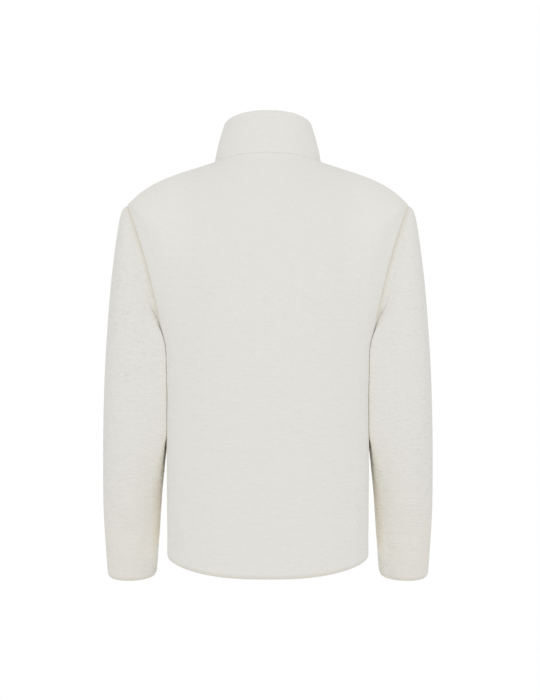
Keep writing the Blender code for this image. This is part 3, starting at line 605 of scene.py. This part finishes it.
def finer_sleeve(grid, inward):
    """The sleeve's fine grid from the underarm seam round to it again, with its sections and angles."""
    seam = ARMHOLE_ROWS
    turned = [np.roll(part, -seam, axis=1) for part in (grid, inward)]
    rows_at = cells(row_lengths(grid), SLEEVE_STEP["along"])
    tall = [finer_plain(part, rows_at) for part in turned]
    closed = [np.concatenate((part[:, -1:], part, part[:, :2]), axis=1).transpose(1, 0, 2)
              for part in tall]
    lengths = row_lengths(np.concatenate((turned[0], turned[0][:, :1]), axis=1).transpose(1, 0, 2))
    cell, share = cells(lengths, SLEEVE_STEP["around"], close_ends=True)
    fine = []
    for part in closed:
        slopes = (part[2:] - part[:-2]) / 2
        fine.append(finer(part[1:-1], slopes, slopes, (cell, share)).transpose(1, 0, 2))
    section = rows_at[0] + rows_at[1]
    angle = math.pi + (cell + share) * math.pi / ARMHOLE_ROWS
    return fine[0], fine[1], section, angle


# ---- Noise and relief ----
def noise(u, v, seed):
    """Smooth gradient noise, about -1 to 1, with cells of size 1."""
    random = np.random.default_rng(seed)
    order = np.tile(random.permutation(512), 3)
    turns = random.uniform(0, 2 * math.pi, 512)
    whole_u, whole_v = np.floor(u).astype(int), np.floor(v).astype(int)
    du, dv = u - whole_u, v - whole_v

    def corner(step_u, step_v):
        turn = turns[order[order[(whole_u + step_u) % 512] + (whole_v + step_v) % 512]]
        return np.cos(turn) * (du - step_u) + np.sin(turn) * (dv - step_v)

    ease_u = du**3 * (du * (du * 6 - 15) + 10)
    ease_v = dv**3 * (dv * (dv * 6 - 15) + 10)
    near = corner(0, 0) * (1 - ease_u) + corner(1, 0) * ease_u
    far = corner(0, 1) * (1 - ease_u) + corner(1, 1) * ease_u
    return 1.6 * (near * (1 - ease_v) + far * ease_v)


def layered(layers, u, v, seed):
    """The sum of a table's layers of noise."""
    return sum(share * noise(u / across, v / along, seed + number)
               for number, (across, along, share) in enumerate(zip(*layers.values())))


def varied(size, u, v, seed):
    """A share that wanders about its mean."""
    return size["mean"] + size["share"] * noise(u / size["across"], v / size["along"], seed)


def crimps(part, u, v, seed):
    """Height of the fleece's short crimped ripples at distances across and along the cloth of a part."""
    bent = v + layered(CRIMP_BENDS, u, v, seed)
    broken = np.clip(varied(CRIMP_BREAKS, u, v, seed + 5), 0.0, 1.2)
    ripples = np.sin(2 * math.pi * bent / CRIMP_PITCH[part]) * broken
    patches = varied(CRIMP_PATCHES, u, v, seed + 9)
    return CRIMP_HEIGHT[part] * (ripples + layered(CRIMP_CURLS[part], u, v, seed + 11)) * patches


def rolled(distance, edge):
    """How far a seam or edge turns the cloth down, at this distance from it."""
    share = np.clip(distance / edge["radius"], 0.0, 1.0)
    if "plain" in edge:
        return edge["drop"] * (1 - share) ** 2
    return edge["drop"] * (1 - np.sqrt(1 - (1 - share) ** 2 * 0.98))


def travelled(grid, axis):
    """Distance along the rows or columns of a grid from its first one."""
    steps = np.linalg.norm(np.diff(grid, axis=axis), axis=-1)
    start = np.zeros_like(np.take(steps, [0], axis=axis))
    return np.concatenate((start, np.cumsum(steps, axis=axis)), axis=axis)


def from_middle(across):
    """The same distances across a grid, measured from its middle column."""
    middle = across.shape[1] // 2
    return across - across[:, middle:middle + 1]


def from_sides(across):
    """Distances across a grid, measured from the nearer side."""
    return np.minimum(across, across[:, -1:] - across)


def panel_folds(folds, grid):
    """How far the soft folds of a table press a body panel in, seen from straight behind or in front."""
    return sum(trough(fold, grid[..., 0] - fold["x"], grid[..., 2] - fold["z"]) for fold in rows_of(folds))


def beside(distance, reach):
    """1 in a seam or on a turned edge, falling to 0 at this reach from it."""
    return np.clip(1 - distance / PAINTED_LIGHT_REACH[reach], 0.0, 1.0)


def lying_share(share):
    """1 where the cloth lies against another piece, and 0 past the end of that part."""
    return np.clip((1 - share) / LYING["soft"], 0.0, 1.0)


def painted_light_and_tone(*marks):
    """Colour factors of a cloth grid, painted shade and light and tone, from the factors and the share that
    each has at every point.
    """
    return math.prod(1 + (np.array(PAINTED_LIGHT_AND_TONE[name]) - 1) * share[..., None] for name, share in marks)


def relief(grid, inward, ripples, pressed, seams):
    """The outer grid with its ripples and folds, and turned down along its seams and edges."""
    nearest = np.min([distance for distance, _ in seams], axis=0)
    calm = eased(nearest, 0.0, CALM["seam"])
    moved = grid + grid_normals(grid) * ((ripples - pressed) * calm)[..., None]
    down = np.max([rolled(distance, edge) for distance, edge in seams], axis=0)
    return moved - unit(inward) * down[..., None]


# ---- Meshes ----
def link_mesh(name, points, faces, material, shade_light_and_tone=None):
    mesh = bpy.data.meshes.new(name)
    mesh.from_pydata(points.tolist(), [], faces)
    mesh.shade_smooth()
    if shade_light_and_tone is not None:
        colours = np.concatenate((shade_light_and_tone.reshape(-1, 3), np.ones((len(points), 1))), axis=1)
        mesh.attributes.new("shade_light_tone", "FLOAT_COLOR", "POINT").data.foreach_set("color", colours.ravel())
    mesh.materials.append(material)
    made = bpy.data.objects.new(name, mesh)
    bpy.context.scene.collection.objects.link(made)
    return made


def grid_faces(rows, columns, around=False, first=0, inside=False):
    """Faces of a grid of points that are numbered from first, seen from its outer side or from inside."""
    def at(row, column):
        return first + row * columns + column % columns

    faces = [(at(row, column), at(row + 1, column), at(row + 1, column + 1), at(row, column + 1))
             for row in range(rows - 1) for column in range(columns if around else columns - 1)]
    return [face[:1] + face[:0:-1] for face in faces] if inside else faces


def wall_faces(rows, columns, around):
    """Faces of a wall: a fine outer grid, an inner one with fewer rows, and the rims between them."""
    inner_rows = (rows - 1) // INNER_STEP + 1
    count = rows * columns
    faces = grid_faces(rows, columns, around) + grid_faces(inner_rows, columns, around, count, inside=True)

    def outer(row, column):
        return row * columns + column % columns

    def inner(row, column):
        return count + row * columns + column % columns

    for column in range(columns if around else columns - 1):
        faces.append((outer(0, column), outer(0, column + 1), inner(0, column + 1), inner(0, column)))
        faces.append((outer(rows - 1, column + 1), outer(rows - 1, column),
                      inner(inner_rows - 1, column), inner(inner_rows - 1, column + 1)))
    if around:
        return faces
    half = INNER_STEP // 2
    for column, turned in ((0, True), (columns - 1, False)):
        for row in range(inner_rows - 1):
            start = row * INNER_STEP
            fan = [(outer(start + k, column), outer(start + k + 1, column), inner(row + (k >= half), column))
                   for k in range(INNER_STEP)]
            fan.append((outer(start + half, column), inner(row + 1, column), inner(row, column)))
            faces.extend(face[::-1] if turned else face for face in fan)
    return faces


def add_wall(name, outer, inner, shade_light_and_tone, material, around=False, flipped=False):
    """A closed wall of cloth; a grid that goes round has its first column again as its last."""
    if around:
        outer, inner, shade_light_and_tone = outer[:, :-1], inner[:, :-1], shade_light_and_tone[:, :-1]
    points = np.concatenate((outer.reshape(-1, 3), inner[::INNER_STEP].reshape(-1, 3)))
    faces = wall_faces(*outer.shape[:2], around)
    if flipped:
        points = mirrored(points)
        faces = [face[::-1] for face in faces]
    both = np.concatenate((shade_light_and_tone.reshape(-1, 3), np.ones_like(shade_light_and_tone[::INNER_STEP]).reshape(-1, 3)))
    return link_mesh(name, points, faces, material, both)


def surface_tree(*grids):
    """The surfaces of some grids of points, to be met by rays."""
    points, faces = [], []
    for grid in grids:
        faces.extend(grid_faces(*grid.shape[:2], first=len(points)))
        points.extend(grid.reshape(-1, 3).tolist())
    return BVHTree.FromPolygons(points, faces)


def pressed_on(body, points, share):
    """How far points of the left sleeve move to lie against the body, by the share each one has in that."""
    moved = np.zeros_like(points)
    for place in zip(*np.nonzero(share > 0)):
        x, y, z = points[place]
        start = Vector((x + PRESSING_RAY["from_outside"], y, z))
        met = body.ray_cast(start, Vector((-1.0, 0.0, 0.0)), PRESSING_RAY["length"])[0]
        if met is not None:
            moved[place][0] = (met.x + PRESSED["room"] - x) * share[place]
    return moved


def sweep_faces(sections, around):
    """Faces of a bar through closed loops of points, with a flat cap at each end."""
    last = (sections - 1) * around
    caps = [tuple(range(around)), tuple(range(last, last + around))[::-1]]
    return caps + grid_faces(sections, around, around=True)


# ---- Materials ----
ECRU = (0.885, 0.876, 0.842, 1.0)
ECRU_HOLLOW_SHADE = (0.855, 0.838, 0.790, 1.0)
ECRU_TAPE = (0.70, 0.68, 0.62, 1.0)
ECRU_PLASTIC = (0.72, 0.70, 0.645, 1.0)
ENAMEL = (0.70, 0.68, 0.625, 1.0)
# How pale the fleece of a part is, and how deep its ripples are as bump.
FLEECE = {"body": {"tone": 0.982, "ripple": 0.00038},
          "sleeve": {"tone": 0.997, "ripple": 0.00125},
          "collar": {"tone": 0.990, "ripple": 0.00030}}


def scaled(colour, factor):
    return tuple(min(1.0, value * factor) for value in colour[:3]) + (1.0,)


def new_material(name, colour, roughness):
    material = bpy.data.materials.new(name)
    material.use_nodes = True
    shader = material.node_tree.nodes["Principled BSDF"]
    shader.inputs["Base Color"].default_value = colour
    shader.inputs["Roughness"].default_value = roughness
    return material, shader, material.node_tree.links


def add_node(material, kind, **values):
    """A node with its settings (lower case) and the defaults of its inputs (as they are named)."""
    node = material.node_tree.nodes.new(kind)
    for key, value in values.items():
        if key in node.inputs:
            node.inputs[key].default_value = value
        else:
            setattr(node, key, value)
    return node


def object_coordinates(material, scale=(1.0, 1.0, 1.0), turn=(0.0, 0.0, 0.0)):
    coordinates = add_node(material, "ShaderNodeTexCoord")
    mapping = add_node(material, "ShaderNodeMapping", Scale=scale, Rotation=turn)
    material.node_tree.links.new(coordinates.outputs["Object"], mapping.inputs["Vector"])
    return mapping.outputs["Vector"]


def noise_node(material, vector, **values):
    node = add_node(material, "ShaderNodeTexNoise", **values)
    material.node_tree.links.new(vector, node.inputs["Vector"])
    return node.outputs["Fac"]


def product(material, first, second):
    node = add_node(material, "ShaderNodeMath", operation="MULTIPLY")
    material.node_tree.links.new(first, node.inputs[0])
    material.node_tree.links.new(second, node.inputs[1])
    return node.outputs[0]


def ramp(material, factor, low, high, from_low, from_high):
    """A colour between two, as a factor goes from one value to another."""
    node = add_node(material, "ShaderNodeValToRGB")
    for end, place, colour in zip(node.color_ramp.elements, (from_low, from_high), (low, high)):
        end.position = place
        end.color = colour
    material.node_tree.links.new(factor, node.inputs["Fac"])
    return node.outputs["Color"]


def bump(material, height, distance, strength=1.0, under=None):
    node = add_node(material, "ShaderNodeBump", Distance=distance, Strength=strength)
    material.node_tree.links.new(height, node.inputs["Height"])
    if under is not None:
        material.node_tree.links.new(under, node.inputs["Normal"])
    return node.outputs["Normal"]


def fleece_material(name, part):
    """Sherpa: short crimped wool-like ripples with finer curls on them, and painted shade: a warmer, darker
    colour in the hollows between.
    """
    material, shader, links = new_material("fleece_" + name, ECRU, 0.95)
    ripples = noise_node(material, object_coordinates(material, (1.0, 1.0, 4.2)),
                         Scale=88.0, Detail=2.0, Roughness=0.55, Distortion=0.35)
    curls = noise_node(material, object_coordinates(material, (1.0, 1.0, 1.9)),
                       Scale=420.0, Detail=2.0, Roughness=0.6, Distortion=0.6)
    fine = bump(material, curls, 0.0004, 0.7)
    links.new(bump(material, ripples, FLEECE[part]["ripple"], under=fine), shader.inputs["Normal"])
    low, high = (scaled(colour, FLEECE[part]["tone"]) for colour in (ECRU_HOLLOW_SHADE, ECRU))
    # Painted shade: the pile's colour is darker and warmer where its ripples and curls are low.
    pile = ramp(material, product(material, ripples, curls), low, high, 0.06, 0.24)
    # The pile's colour is then multiplied by the painted shade and light and the tone that each point
    # carries.
    shade_light_tone = add_node(material, "ShaderNodeAttribute", attribute_name="shade_light_tone")
    mix = add_node(material, "ShaderNodeMix", data_type="RGBA", blend_type="MULTIPLY", Factor=1.0)
    links.new(pile, mix.inputs[6])
    links.new(shade_light_tone.outputs["Color"], mix.inputs[7])
    links.new(mix.outputs[2], shader.inputs["Base Color"])
    shader.inputs["Sheen Weight"].default_value = 0.18
    shader.inputs["Sheen Roughness"].default_value = 0.55
    shader.inputs["Sheen Tint"].default_value = (1.0, 0.99, 0.97, 1.0)
    shader.inputs["Specular IOR Level"].default_value = 0.15
    return material


def tape_material():
    """Woven zip tape: a fine herringbone."""
    material, shader, links = new_material("zip_tape_weave", ECRU_TAPE, 0.85)
    heights = []
    for lean in (0.7, -0.7):
        weave = add_node(material, "ShaderNodeTexWave", wave_type="BANDS", bands_direction="Z", Scale=300.0,
                         Distortion=0.4, Detail=1.0)
        links.new(object_coordinates(material, turn=(0.0, lean, 0.0)), weave.inputs["Vector"])
        heights.append(weave.outputs["Fac"])
    both = product(material, *heights)
    links.new(bump(material, both, 0.0003, 0.8), shader.inputs["Normal"])
    links.new(ramp(material, both, scaled(ECRU_TAPE, 0.86), ECRU_TAPE, 0.0, 0.6), shader.inputs["Base Color"])
    return material


def plastic_material():
    """Moulded zip teeth and retainer: matt plastic with faint flow marks."""
    material, shader, links = new_material("zip_plastic", ECRU_PLASTIC, 0.42)
    flow = noise_node(material, object_coordinates(material), Scale=900.0, Detail=2.0)
    links.new(bump(material, flow, 0.00006, 0.6), shader.inputs["Normal"])
    marks = ramp(material, flow, ECRU_PLASTIC, scaled(ECRU_PLASTIC, 1.05), 0.35, 0.65)
    links.new(marks, shader.inputs["Base Color"])
    return material


def enamel_material():
    """Cast slider and pull with baked enamel, slightly worn."""
    material, shader, links = new_material("zip_enamel", ENAMEL, 0.30)
    orange_peel = noise_node(material, object_coordinates(material), Scale=700.0, Detail=1.0)
    links.new(bump(material, orange_peel, 0.00004, 0.5), shader.inputs["Normal"])
    wear = noise_node(material, object_coordinates(material), Scale=160.0, Detail=3.0, Roughness=0.6)
    links.new(ramp(material, wear, scaled(ENAMEL, 0.9), ENAMEL, 0.3, 0.6), shader.inputs["Base Color"])
    shader.inputs["Coat Weight"].default_value = 0.35
    shader.inputs["Coat Roughness"].default_value = 0.18
    return material


# ---- Cloth pieces ----
def dress(piece, node):
    """Puts a cloth piece in place of its solid."""
    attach(piece, "garment")
    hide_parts(node)


def lying_on_body(grid, from_side):
    """How far a body panel is covered by the sleeve beside it, below the underarm."""
    below = np.clip((UNDERARM[1] - grid[..., 2]) / LYING["below_underarm"], 0.0, 1.0)
    return below * lying_share(from_side / LYING["body"])


def armhole_swell(grid, distance):
    """The body's cloth stands out a little beside the armhole, where the sleeve is set in behind it."""
    height = np.clip((grid[..., 2] - UNDERARM[1]) / (SHOULDER_TIP[1] - UNDERARM[1]), 0.0, 1.0)
    along = eased(height, *ARMHOLE_SWELL["comes_in"]) * eased(height, *ARMHOLE_SWELL["goes_out"])
    off = (distance - ARMHOLE_SWELL["from_seam"]) / ARMHOLE_SWELL["spread"]
    return ARMHOLE_SWELL["rise"] * along * np.exp(-off**2)


def panel_ripples(grid, seed):
    """Ripples of a body panel: softer on the shoulders, where the pile lies flatter."""
    height = np.clip((grid[..., 2] - CALM_SHOULDERS["from_z"]) / CALM_SHOULDERS["over"], 0.0, 1.0)
    ripples = crimps("body", from_middle(travelled(grid, 1)), grid[..., 2], seed)
    return ripples * (1 - CALM_SHOULDERS["share"] * height)


def armhole_slopes(loop):
    """Slopes of the armhole seam at the underarm and at the shoulder tip, up the front and down the back."""
    underarm = (loop[ARMHOLE_ROWS + 1] - loop[ARMHOLE_ROWS - 1]) / 2
    tip = (loop[1] - loop[-1]) / 2
    return underarm, tip


def add_panel(name, grid, inward, from_side, pressed, edges=(), flipped=False):
    """A body panel of cloth, from which its outer face comes back. Edges are those that others don't have."""
    along = travelled(grid, 0)
    from_neck = along[-1:] - along
    seams = [(from_side, SEAM_ROLL), (along, HEM_ROLL), (from_neck, COLLAR_ROLL), *edges]
    lying = lying_on_body(grid, from_side)
    ripples = panel_ripples(grid, SEEDS[name]) * (1 - CALM_LYING * lying)
    outer = relief(grid, inward, ripples, pressed - armhole_swell(grid, from_side), seams)
    # Painted shade beside the side seam and armhole and on the hem; painted light below the neck seam, where
    # the sleeve lies on the body, and towards the flanks.
    shade_light_and_tone = painted_light_and_tone(("seam", beside(from_side, "side")), ("edge", beside(along, "edge")),
                   ("flank", beside(from_neck, "edge")), ("lying", lying),
                   ("flank", eased(np.abs(grid[..., 0]), *FLANK_X)))
    material = fleece_material(name, "body")
    piece = add_wall(name + "_cloth", outer, grid - inward, shade_light_and_tone, material, flipped=flipped)
    dress(piece, name)
    return outer


def add_back(back, back_in, loop):
    underarm, tip = armhole_slopes(loop)
    slopes = [(mirrored(-underarm), mirrored(-tip)), (-underarm, -tip)]
    grid, inward = finer_panel(back, back_in, slopes, (0, -1))
    from_side = from_sides(travelled(grid, 1))
    return add_panel("back", grid, inward, from_side, panel_folds(BACK_FOLDS, grid))


def add_front(name, front, front_in, loop, flipped):
    grid, inward = finer_panel(front, front_in, [armhole_slopes(loop)], (0,))
    across = travelled(grid, 1)
    to_zip = across[:, -1:] - across
    stitched = STITCH_LINE["drop"] * np.exp(-((to_zip - STITCH_LINE["from_edge"]) / STITCH_LINE["spread"])**2)
    pressed = panel_folds(FRONT_FOLDS, grid) + stitched
    return add_panel(name, grid, inward, across, pressed, [(to_zip, ZIP_EDGE_ROLL)], flipped)


def add_sleeve(name, sleeve, sleeve_in, body, creases, flipped):
    grid, inward, section, angle = finer_sleeve(sleeve, sleeve_in)
    across, along = travelled(grid, 1), travelled(grid, 0)
    to_cuff = along[-1:] - along
    level = section[:, None]
    turns = np.degrees(np.minimum(angle - math.pi, 3 * math.pi - angle))
    to_cap = along + CAP_ROLL["radius"] * eased(turns, *CAP_ROLL["turns"])
    seams = [(from_sides(across), SEAM_ROLL), (to_cap, CAP_ROLL), (to_cuff, HEM_ROLL)]
    radius = np.interp(section, np.arange(len(sleeve)), sleeve_radii())[:, None]
    pressed = sleeve_folds(creases, level, angle[None, :], radius)
    none, full = (np.interp(level, PRESSED_TURNS["section"], PRESSED_TURNS[end]) for end in ("none", "full"))
    share = eased(turns, none, full) * eased(level, *PRESSED["starts"]) * eased(level, *PRESSED["ends"])
    grown = CALM_CAP["kept"] + (1 - CALM_CAP["kept"]) * eased(level, *CALM_CAP["sections"])
    ripples = crimps("sleeve", from_middle(across), grid[..., 2], SEEDS[name])
    outer = relief(grid, inward, ripples * grown * (1 - CALM_LYING * share), pressed, seams)
    moved = pressed_on(body, outer, share)
    lying = lying_share(turns / LYING["sleeve_turn"]) * eased(level, *LYING["sections"])
    # Painted shade beside the armhole seam and on the cuff; painted light where the sleeve lies on the body
    # and on the forearm's inner side; a warmer tone low on the sleeve.
    shade_light_and_tone = painted_light_and_tone(("seam", beside(along, "seam")), ("edge", beside(to_cuff, "edge")), ("lying", lying),
                   ("low", np.broadcast_to(eased(level, *LOW_SECTIONS), lying.shape)),
                   ("inner", eased(turns, *INNER_SIDE["turns"]) * eased(level, *INNER_SIDE["sections"])))
    material = fleece_material(name, "sleeve")
    piece = add_wall(name + "_cloth", outer + moved, grid - inward + moved, shade_light_and_tone, material, True, flipped)
    dress(piece, name)


# ---- Collar ----
COLLAR_ROUND = 7             # steps over the fold at the collar's top
COLLAR_INNER_ROWS = 22


def collar_top_row(face, shares, start_x=0.0):
    """The collar's top edge from start_x to the side, on the back or the front."""
    power = ROW_STAGES["roundness"][-1]
    depth = COLLAR_TOP[face + "_y"]
    first_turn = math.asin((start_x / COLLAR_TOP["half_width"]) ** (power / 2))
    turn = first_turn + (math.pi / 2 - first_turn) * np.asarray(shares)
    x = COLLAR_TOP["half_width"] * np.sin(turn) ** (2 / power)
    reach = np.clip(np.cos(turn), 0.0, 1.0) ** (2 / power)
    z = COLLAR_TOP["side_z"] + (COLLAR_TOP[face + "_z"] - COLLAR_TOP["side_z"]) * reach
    return np.stack((x, depth * reach if face == "back" else -depth * reach, z), axis=-1)


def collar_edges(back, front):
    """Bottom and top edges of the collar, from the zip round the left side and the back to the zip again."""
    bottom_left = front[-1][::-1]
    top_left = collar_top_row("front", np.linspace(0, 1, FRONT_COLUMNS + 1), ZIP_SLOT / 2)
    half_back = collar_top_row("back", np.linspace(0, 1, BACK_COLUMNS // 2 + 1))
    bottom_back = back[-1][::-1]
    top_back = np.concatenate((half_back[::-1], mirrored(half_back[1:])))
    bottom = np.concatenate((bottom_left, bottom_back[1:-1], mirrored(bottom_left[::-1])))
    top = np.concatenate((top_left, top_back[1:-1], mirrored(top_left[::-1])))
    return bottom, top


def collar_lines(back, back_in, front, front_in):
    """Bottom and top edge, outward direction and rim vectors of the collar, which the panels' rims meet."""
    bottom, top = collar_edges(back, front)
    outward = np.cross(np.gradient(bottom, axis=0), top - bottom)
    outward[[0, -1], 0] = 0.0
    outward = unit(outward)
    panel = np.concatenate((front_in[-1][::-1], back_in[-1][::-1][1:-1], mirrored(front_in[-1])))
    rim = shared_rim(unit(panel), outward, WALL)
    corner = FRONT_COLUMNS
    front_in[-1] = rim[:corner + 1][::-1]
    back_in[-1] = rim[corner:len(rim) - corner][::-1]
    return bottom, top, outward, rim


def add_collar(bottom, top, outward, rim):
    at = cells(np.linalg.norm(np.diff(bottom, axis=0), axis=1), COLLAR_STEP, close_ends=True)
    slopes = np.gradient(bottom, axis=0)
    leave, arrive = slopes.copy(), slopes.copy()
    for corner in (FRONT_COLUMNS, FRONT_COLUMNS + BACK_COLUMNS):
        arrive[corner] = bottom[corner] - bottom[corner - 1]
        leave[corner] = bottom[corner + 1] - bottom[corner]
    low = finer(bottom, leave, arrive, at)
    high, outward, rim = (finer_plain(part, at) for part in (top, outward, rim))
    outward = unit(outward)
    tall = np.linalg.norm(high - low, axis=1).max()
    rows = round(tall / ALONG_STEP)
    straight = 1 - COLLAR_WALL / 2 / tall
    turns = np.linspace(0, math.pi, COLLAR_ROUND + 2)[1:-1]
    heights = np.concatenate((np.linspace(0, straight, rows), straight + (1 - straight) * np.sin(turns),
                              np.linspace(straight, 0, COLLAR_INNER_ROWS)))
    depths = np.concatenate((np.zeros(rows), (1 - np.cos(turns)) / 2, np.ones(COLLAR_INNER_ROWS)))
    length = travelled(low[None], 1)
    to_ends = from_sides(length)
    loops = []
    for height, depth in zip(heights, depths):
        inward = rim * (COLLAR_WALL / WALL) if height == 0 else outward * COLLAR_WALL
        swell = COLLAR_SWELL * math.sin(math.pi * height)
        loops.append(low + (high - low) * height + outward * swell - inward * depth)
    loops = np.array(loops)
    outer_rows = rows + COLLAR_ROUND
    level = np.concatenate((travelled(loops[:outer_rows], 0), np.zeros((COLLAR_INNER_ROWS, len(low)))))
    outer = (np.arange(len(loops)) < outer_rows)[:, None]
    ripples = crimps("collar", np.broadcast_to(length, level.shape), level, SEEDS["collar"])
    calm = np.clip(np.minimum(to_ends, np.where(outer, level, 1.0)) / CALM["collar"], 0.0, 1.0)
    down = np.maximum(rolled(level, COLLAR_ROLL), rolled(to_ends, ZIP_EDGE_ROLL)) * outer
    up = rolled(to_ends, COLLAR_INNER_ROLL) * ~outer
    loops += outward * (ripples * outer * calm - down + up)[..., None]
    sections = loops.transpose(1, 0, 2)
    # Painted shade beside the collar's two ends at the zip.
    shade_light_and_tone = painted_light_and_tone(("seam", beside(np.broadcast_to(to_ends.T, sections.shape[:2]), "side")))
    piece = link_mesh("collar_cloth", sections.reshape(-1, 3), sweep_faces(*sections.shape[:2]),
                      fleece_material("collar", "collar"), shade_light_and_tone)
    dress(piece, "collar")


# ---- Zip ----
TOOTH_PITCH = 0.0028
# Loops of a tooth from its foot on the tape to its tip past the middle: place, half height, half thickness.
TOOTH = table(
    "reach half_height half_thickness",
    (0.0029, 0.00048, 0.00085), (0.0024, 0.00056, 0.00116), (0.0006, 0.00056, 0.00120),
    (0.0000, 0.00066, 0.00120), (-0.0006, 0.00060, 0.00105), (-0.0009, 0.00036, 0.00080))
TOOTH_POINTS = 8
TEETH_CLEAR = {"box": 0.0012, "slider": 0.0014}
TAPE_STEP = 0.0030
# Section of a tape from its inner edge outwards on the near face and back on the far one, in shares of its
# width and of half its thickness.
TAPE_SECTION = table(
    "across deep", (0.0, 0.4), (0.02, 1.0), (0.10, 1.0), (0.16, 0.62), (0.55, 0.62), (0.93, 0.62),
    (0.985, 0.5), (1.0, 0.0), (0.985, -0.5), (0.93, -0.62), (0.55, -0.62), (0.16, -0.62),
    (0.10, -1.0), (0.02, -1.0), (0.0, -0.4))
COLLAR_LINE_STEPS = 29


def zip_line(front, collar_low, collar_high, collar_out):
    """The outer line of the centre front, from the hem to the collar's top, as y and z."""
    at = cells(row_lengths(front[:, -1:]), TAPE_STEP)
    lower = finer_plain(front[:, -1], at)[:, 1:]
    shares = np.linspace(0, 1, COLLAR_LINE_STEPS + 1)[1:, None]
    swell = COLLAR_SWELL * np.sin(math.pi * shares)
    upper = (collar_low + (collar_high - collar_low) * shares + collar_out * swell)[:, 1:]
    return np.concatenate((lower, upper))


def line_places(line, distances):
    """Points and inward normals at distances along the zip's line."""
    corners = travelled(line[None], 1)[0]
    ahead = unit(np.gradient(line, corners, axis=0))
    inward = np.stack((ahead[:, 1], -ahead[:, 0]), axis=-1)
    points = np.stack([np.interp(distances, corners, line[:, k]) for k in (0, 1)], axis=-1)
    normals = unit(np.stack([np.interp(distances, corners, inward[:, k]) for k in (0, 1)], axis=-1))
    return points, normals


def add_tape(name, line, neck, side, material):
    """A woven tape with a corded inner edge and thin rounded outer edge."""
    end = travelled(line[None], 1)[0, -1] - TAPE_FROM_TOP
    above_box = (BOX_TOP, BOX_TOP + BOX_TAPER)
    narrows = [neck - below for below in TAPE_NARROWS]
    steps = np.arange(TAPE_FROM_HEM, end, TAPE_STEP)
    distances = np.unique(np.concatenate((steps, above_box, narrows, (end,))))
    points, normals = line_places(line, distances)
    inner = np.interp(distances, above_box, (BOX_WIDTH / 2 + FIT, TAPE_INNER))
    outer = np.interp(distances, narrows, (TAPE_OUTER_FRONT, TAPE_OUTER_COLLAR))
    deep = TAPE_DEPTH - TAPE_THICKNESS / 2 * TAPE_SECTION["deep"]
    x = side * (inner[:, None] + (outer - inner)[:, None] * TAPE_SECTION["across"])
    loops = np.concatenate((x[..., None], points[:, None] + normals[:, None] * deep[:, None]), axis=-1)
    faces = sweep_faces(*loops.shape[:2])
    if side > 0:
        faces = [face[::-1] for face in faces]
    piece = link_mesh(name + "_woven", loops.reshape(-1, 3), faces, material)
    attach(piece, "garment")
    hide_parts(name)


def add_teeth(line, material):
    """The closed chain: teeth of both sides in turn, each a small block with a rounded head."""
    end = travelled(line[None], 1)[0, -1] - SLIDER_FROM_TOP - TEETH_CLEAR["slider"]
    distances = np.arange(BOX_TOP + TEETH_CLEAR["box"], end, TOOTH_PITCH / 2)
    turns = (np.arange(TOOTH_POINTS) + 0.5) * 2 * math.pi / TOOTH_POINTS
    square = 1 / math.cos(math.pi / TOOTH_POINTS)
    tooth_faces = sweep_faces(len(TOOTH["reach"]), TOOTH_POINTS)
    places, faces = [], []
    for number, (point, normal) in enumerate(zip(*line_places(line, distances))):
        side = 1 if number % 2 else -1
        ahead = np.array((-normal[1], normal[0]))
        first = len(places)
        for size in rows_of(TOOTH):
            for turn in turns:
                deep = TAPE_DEPTH - size["half_thickness"] * square * math.cos(turn)
                spot = point + normal * deep + ahead * size["half_height"] * square * math.sin(turn)
                places.append((side * size["reach"], spot[0], spot[1]))
        faces.extend(tuple(first + k for k in (face if side > 0 else face[::-1])) for face in tooth_faces)
    piece = link_mesh("zip_chain", np.array(places), faces, material)
    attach(piece, "garment")
    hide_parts("zip_teeth")


def dress_node(node, material):
    """A CAD node that stays, with a better material."""
    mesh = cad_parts[node].data
    mesh.materials.clear()
    mesh.materials.append(material)


# ---- Build ----
def build():
    add_camera()
    add_world()
    add_lights()
    add_floor()
    bpy.context.scene.view_settings.view_transform = "Standard"
    (back, back_in), (front, front_in), (sleeve, sleeve_in) = body_and_sleeves()
    bottom, top, outward, rim = collar_lines(back, back_in, front, front_in)
    loop = sleeve[0]
    outer_back = add_back(back, back_in, loop)
    outer_left = add_front("front_left", front, front_in, loop, False)
    outer_right = add_front("front_right", front, front_in, loop, True)
    left = surface_tree(outer_back, outer_left)
    right = surface_tree(mirrored(outer_back), outer_right)
    add_sleeve("sleeve_left", sleeve, sleeve_in, left, LEFT_SLEEVE_CREASES, False)
    add_sleeve("sleeve_right", sleeve, sleeve_in, right, RIGHT_SLEEVE_CREASES, True)
    add_collar(bottom, top, outward, rim)
    line = zip_line(front, bottom[0], top[0], outward[0])
    neck = float(travelled(front[None, :, -1], 1)[0, -1])
    woven, plastic, enamel = tape_material(), plastic_material(), enamel_material()
    add_tape("zip_tape_left", line, neck, 1, woven)
    add_tape("zip_tape_right", line, neck, -1, woven)
    add_teeth(line, plastic)
    for node, material in (("zip_box", plastic), ("zip_slider", enamel), ("zip_pull", enamel)):
        dress_node(node, material)


build()
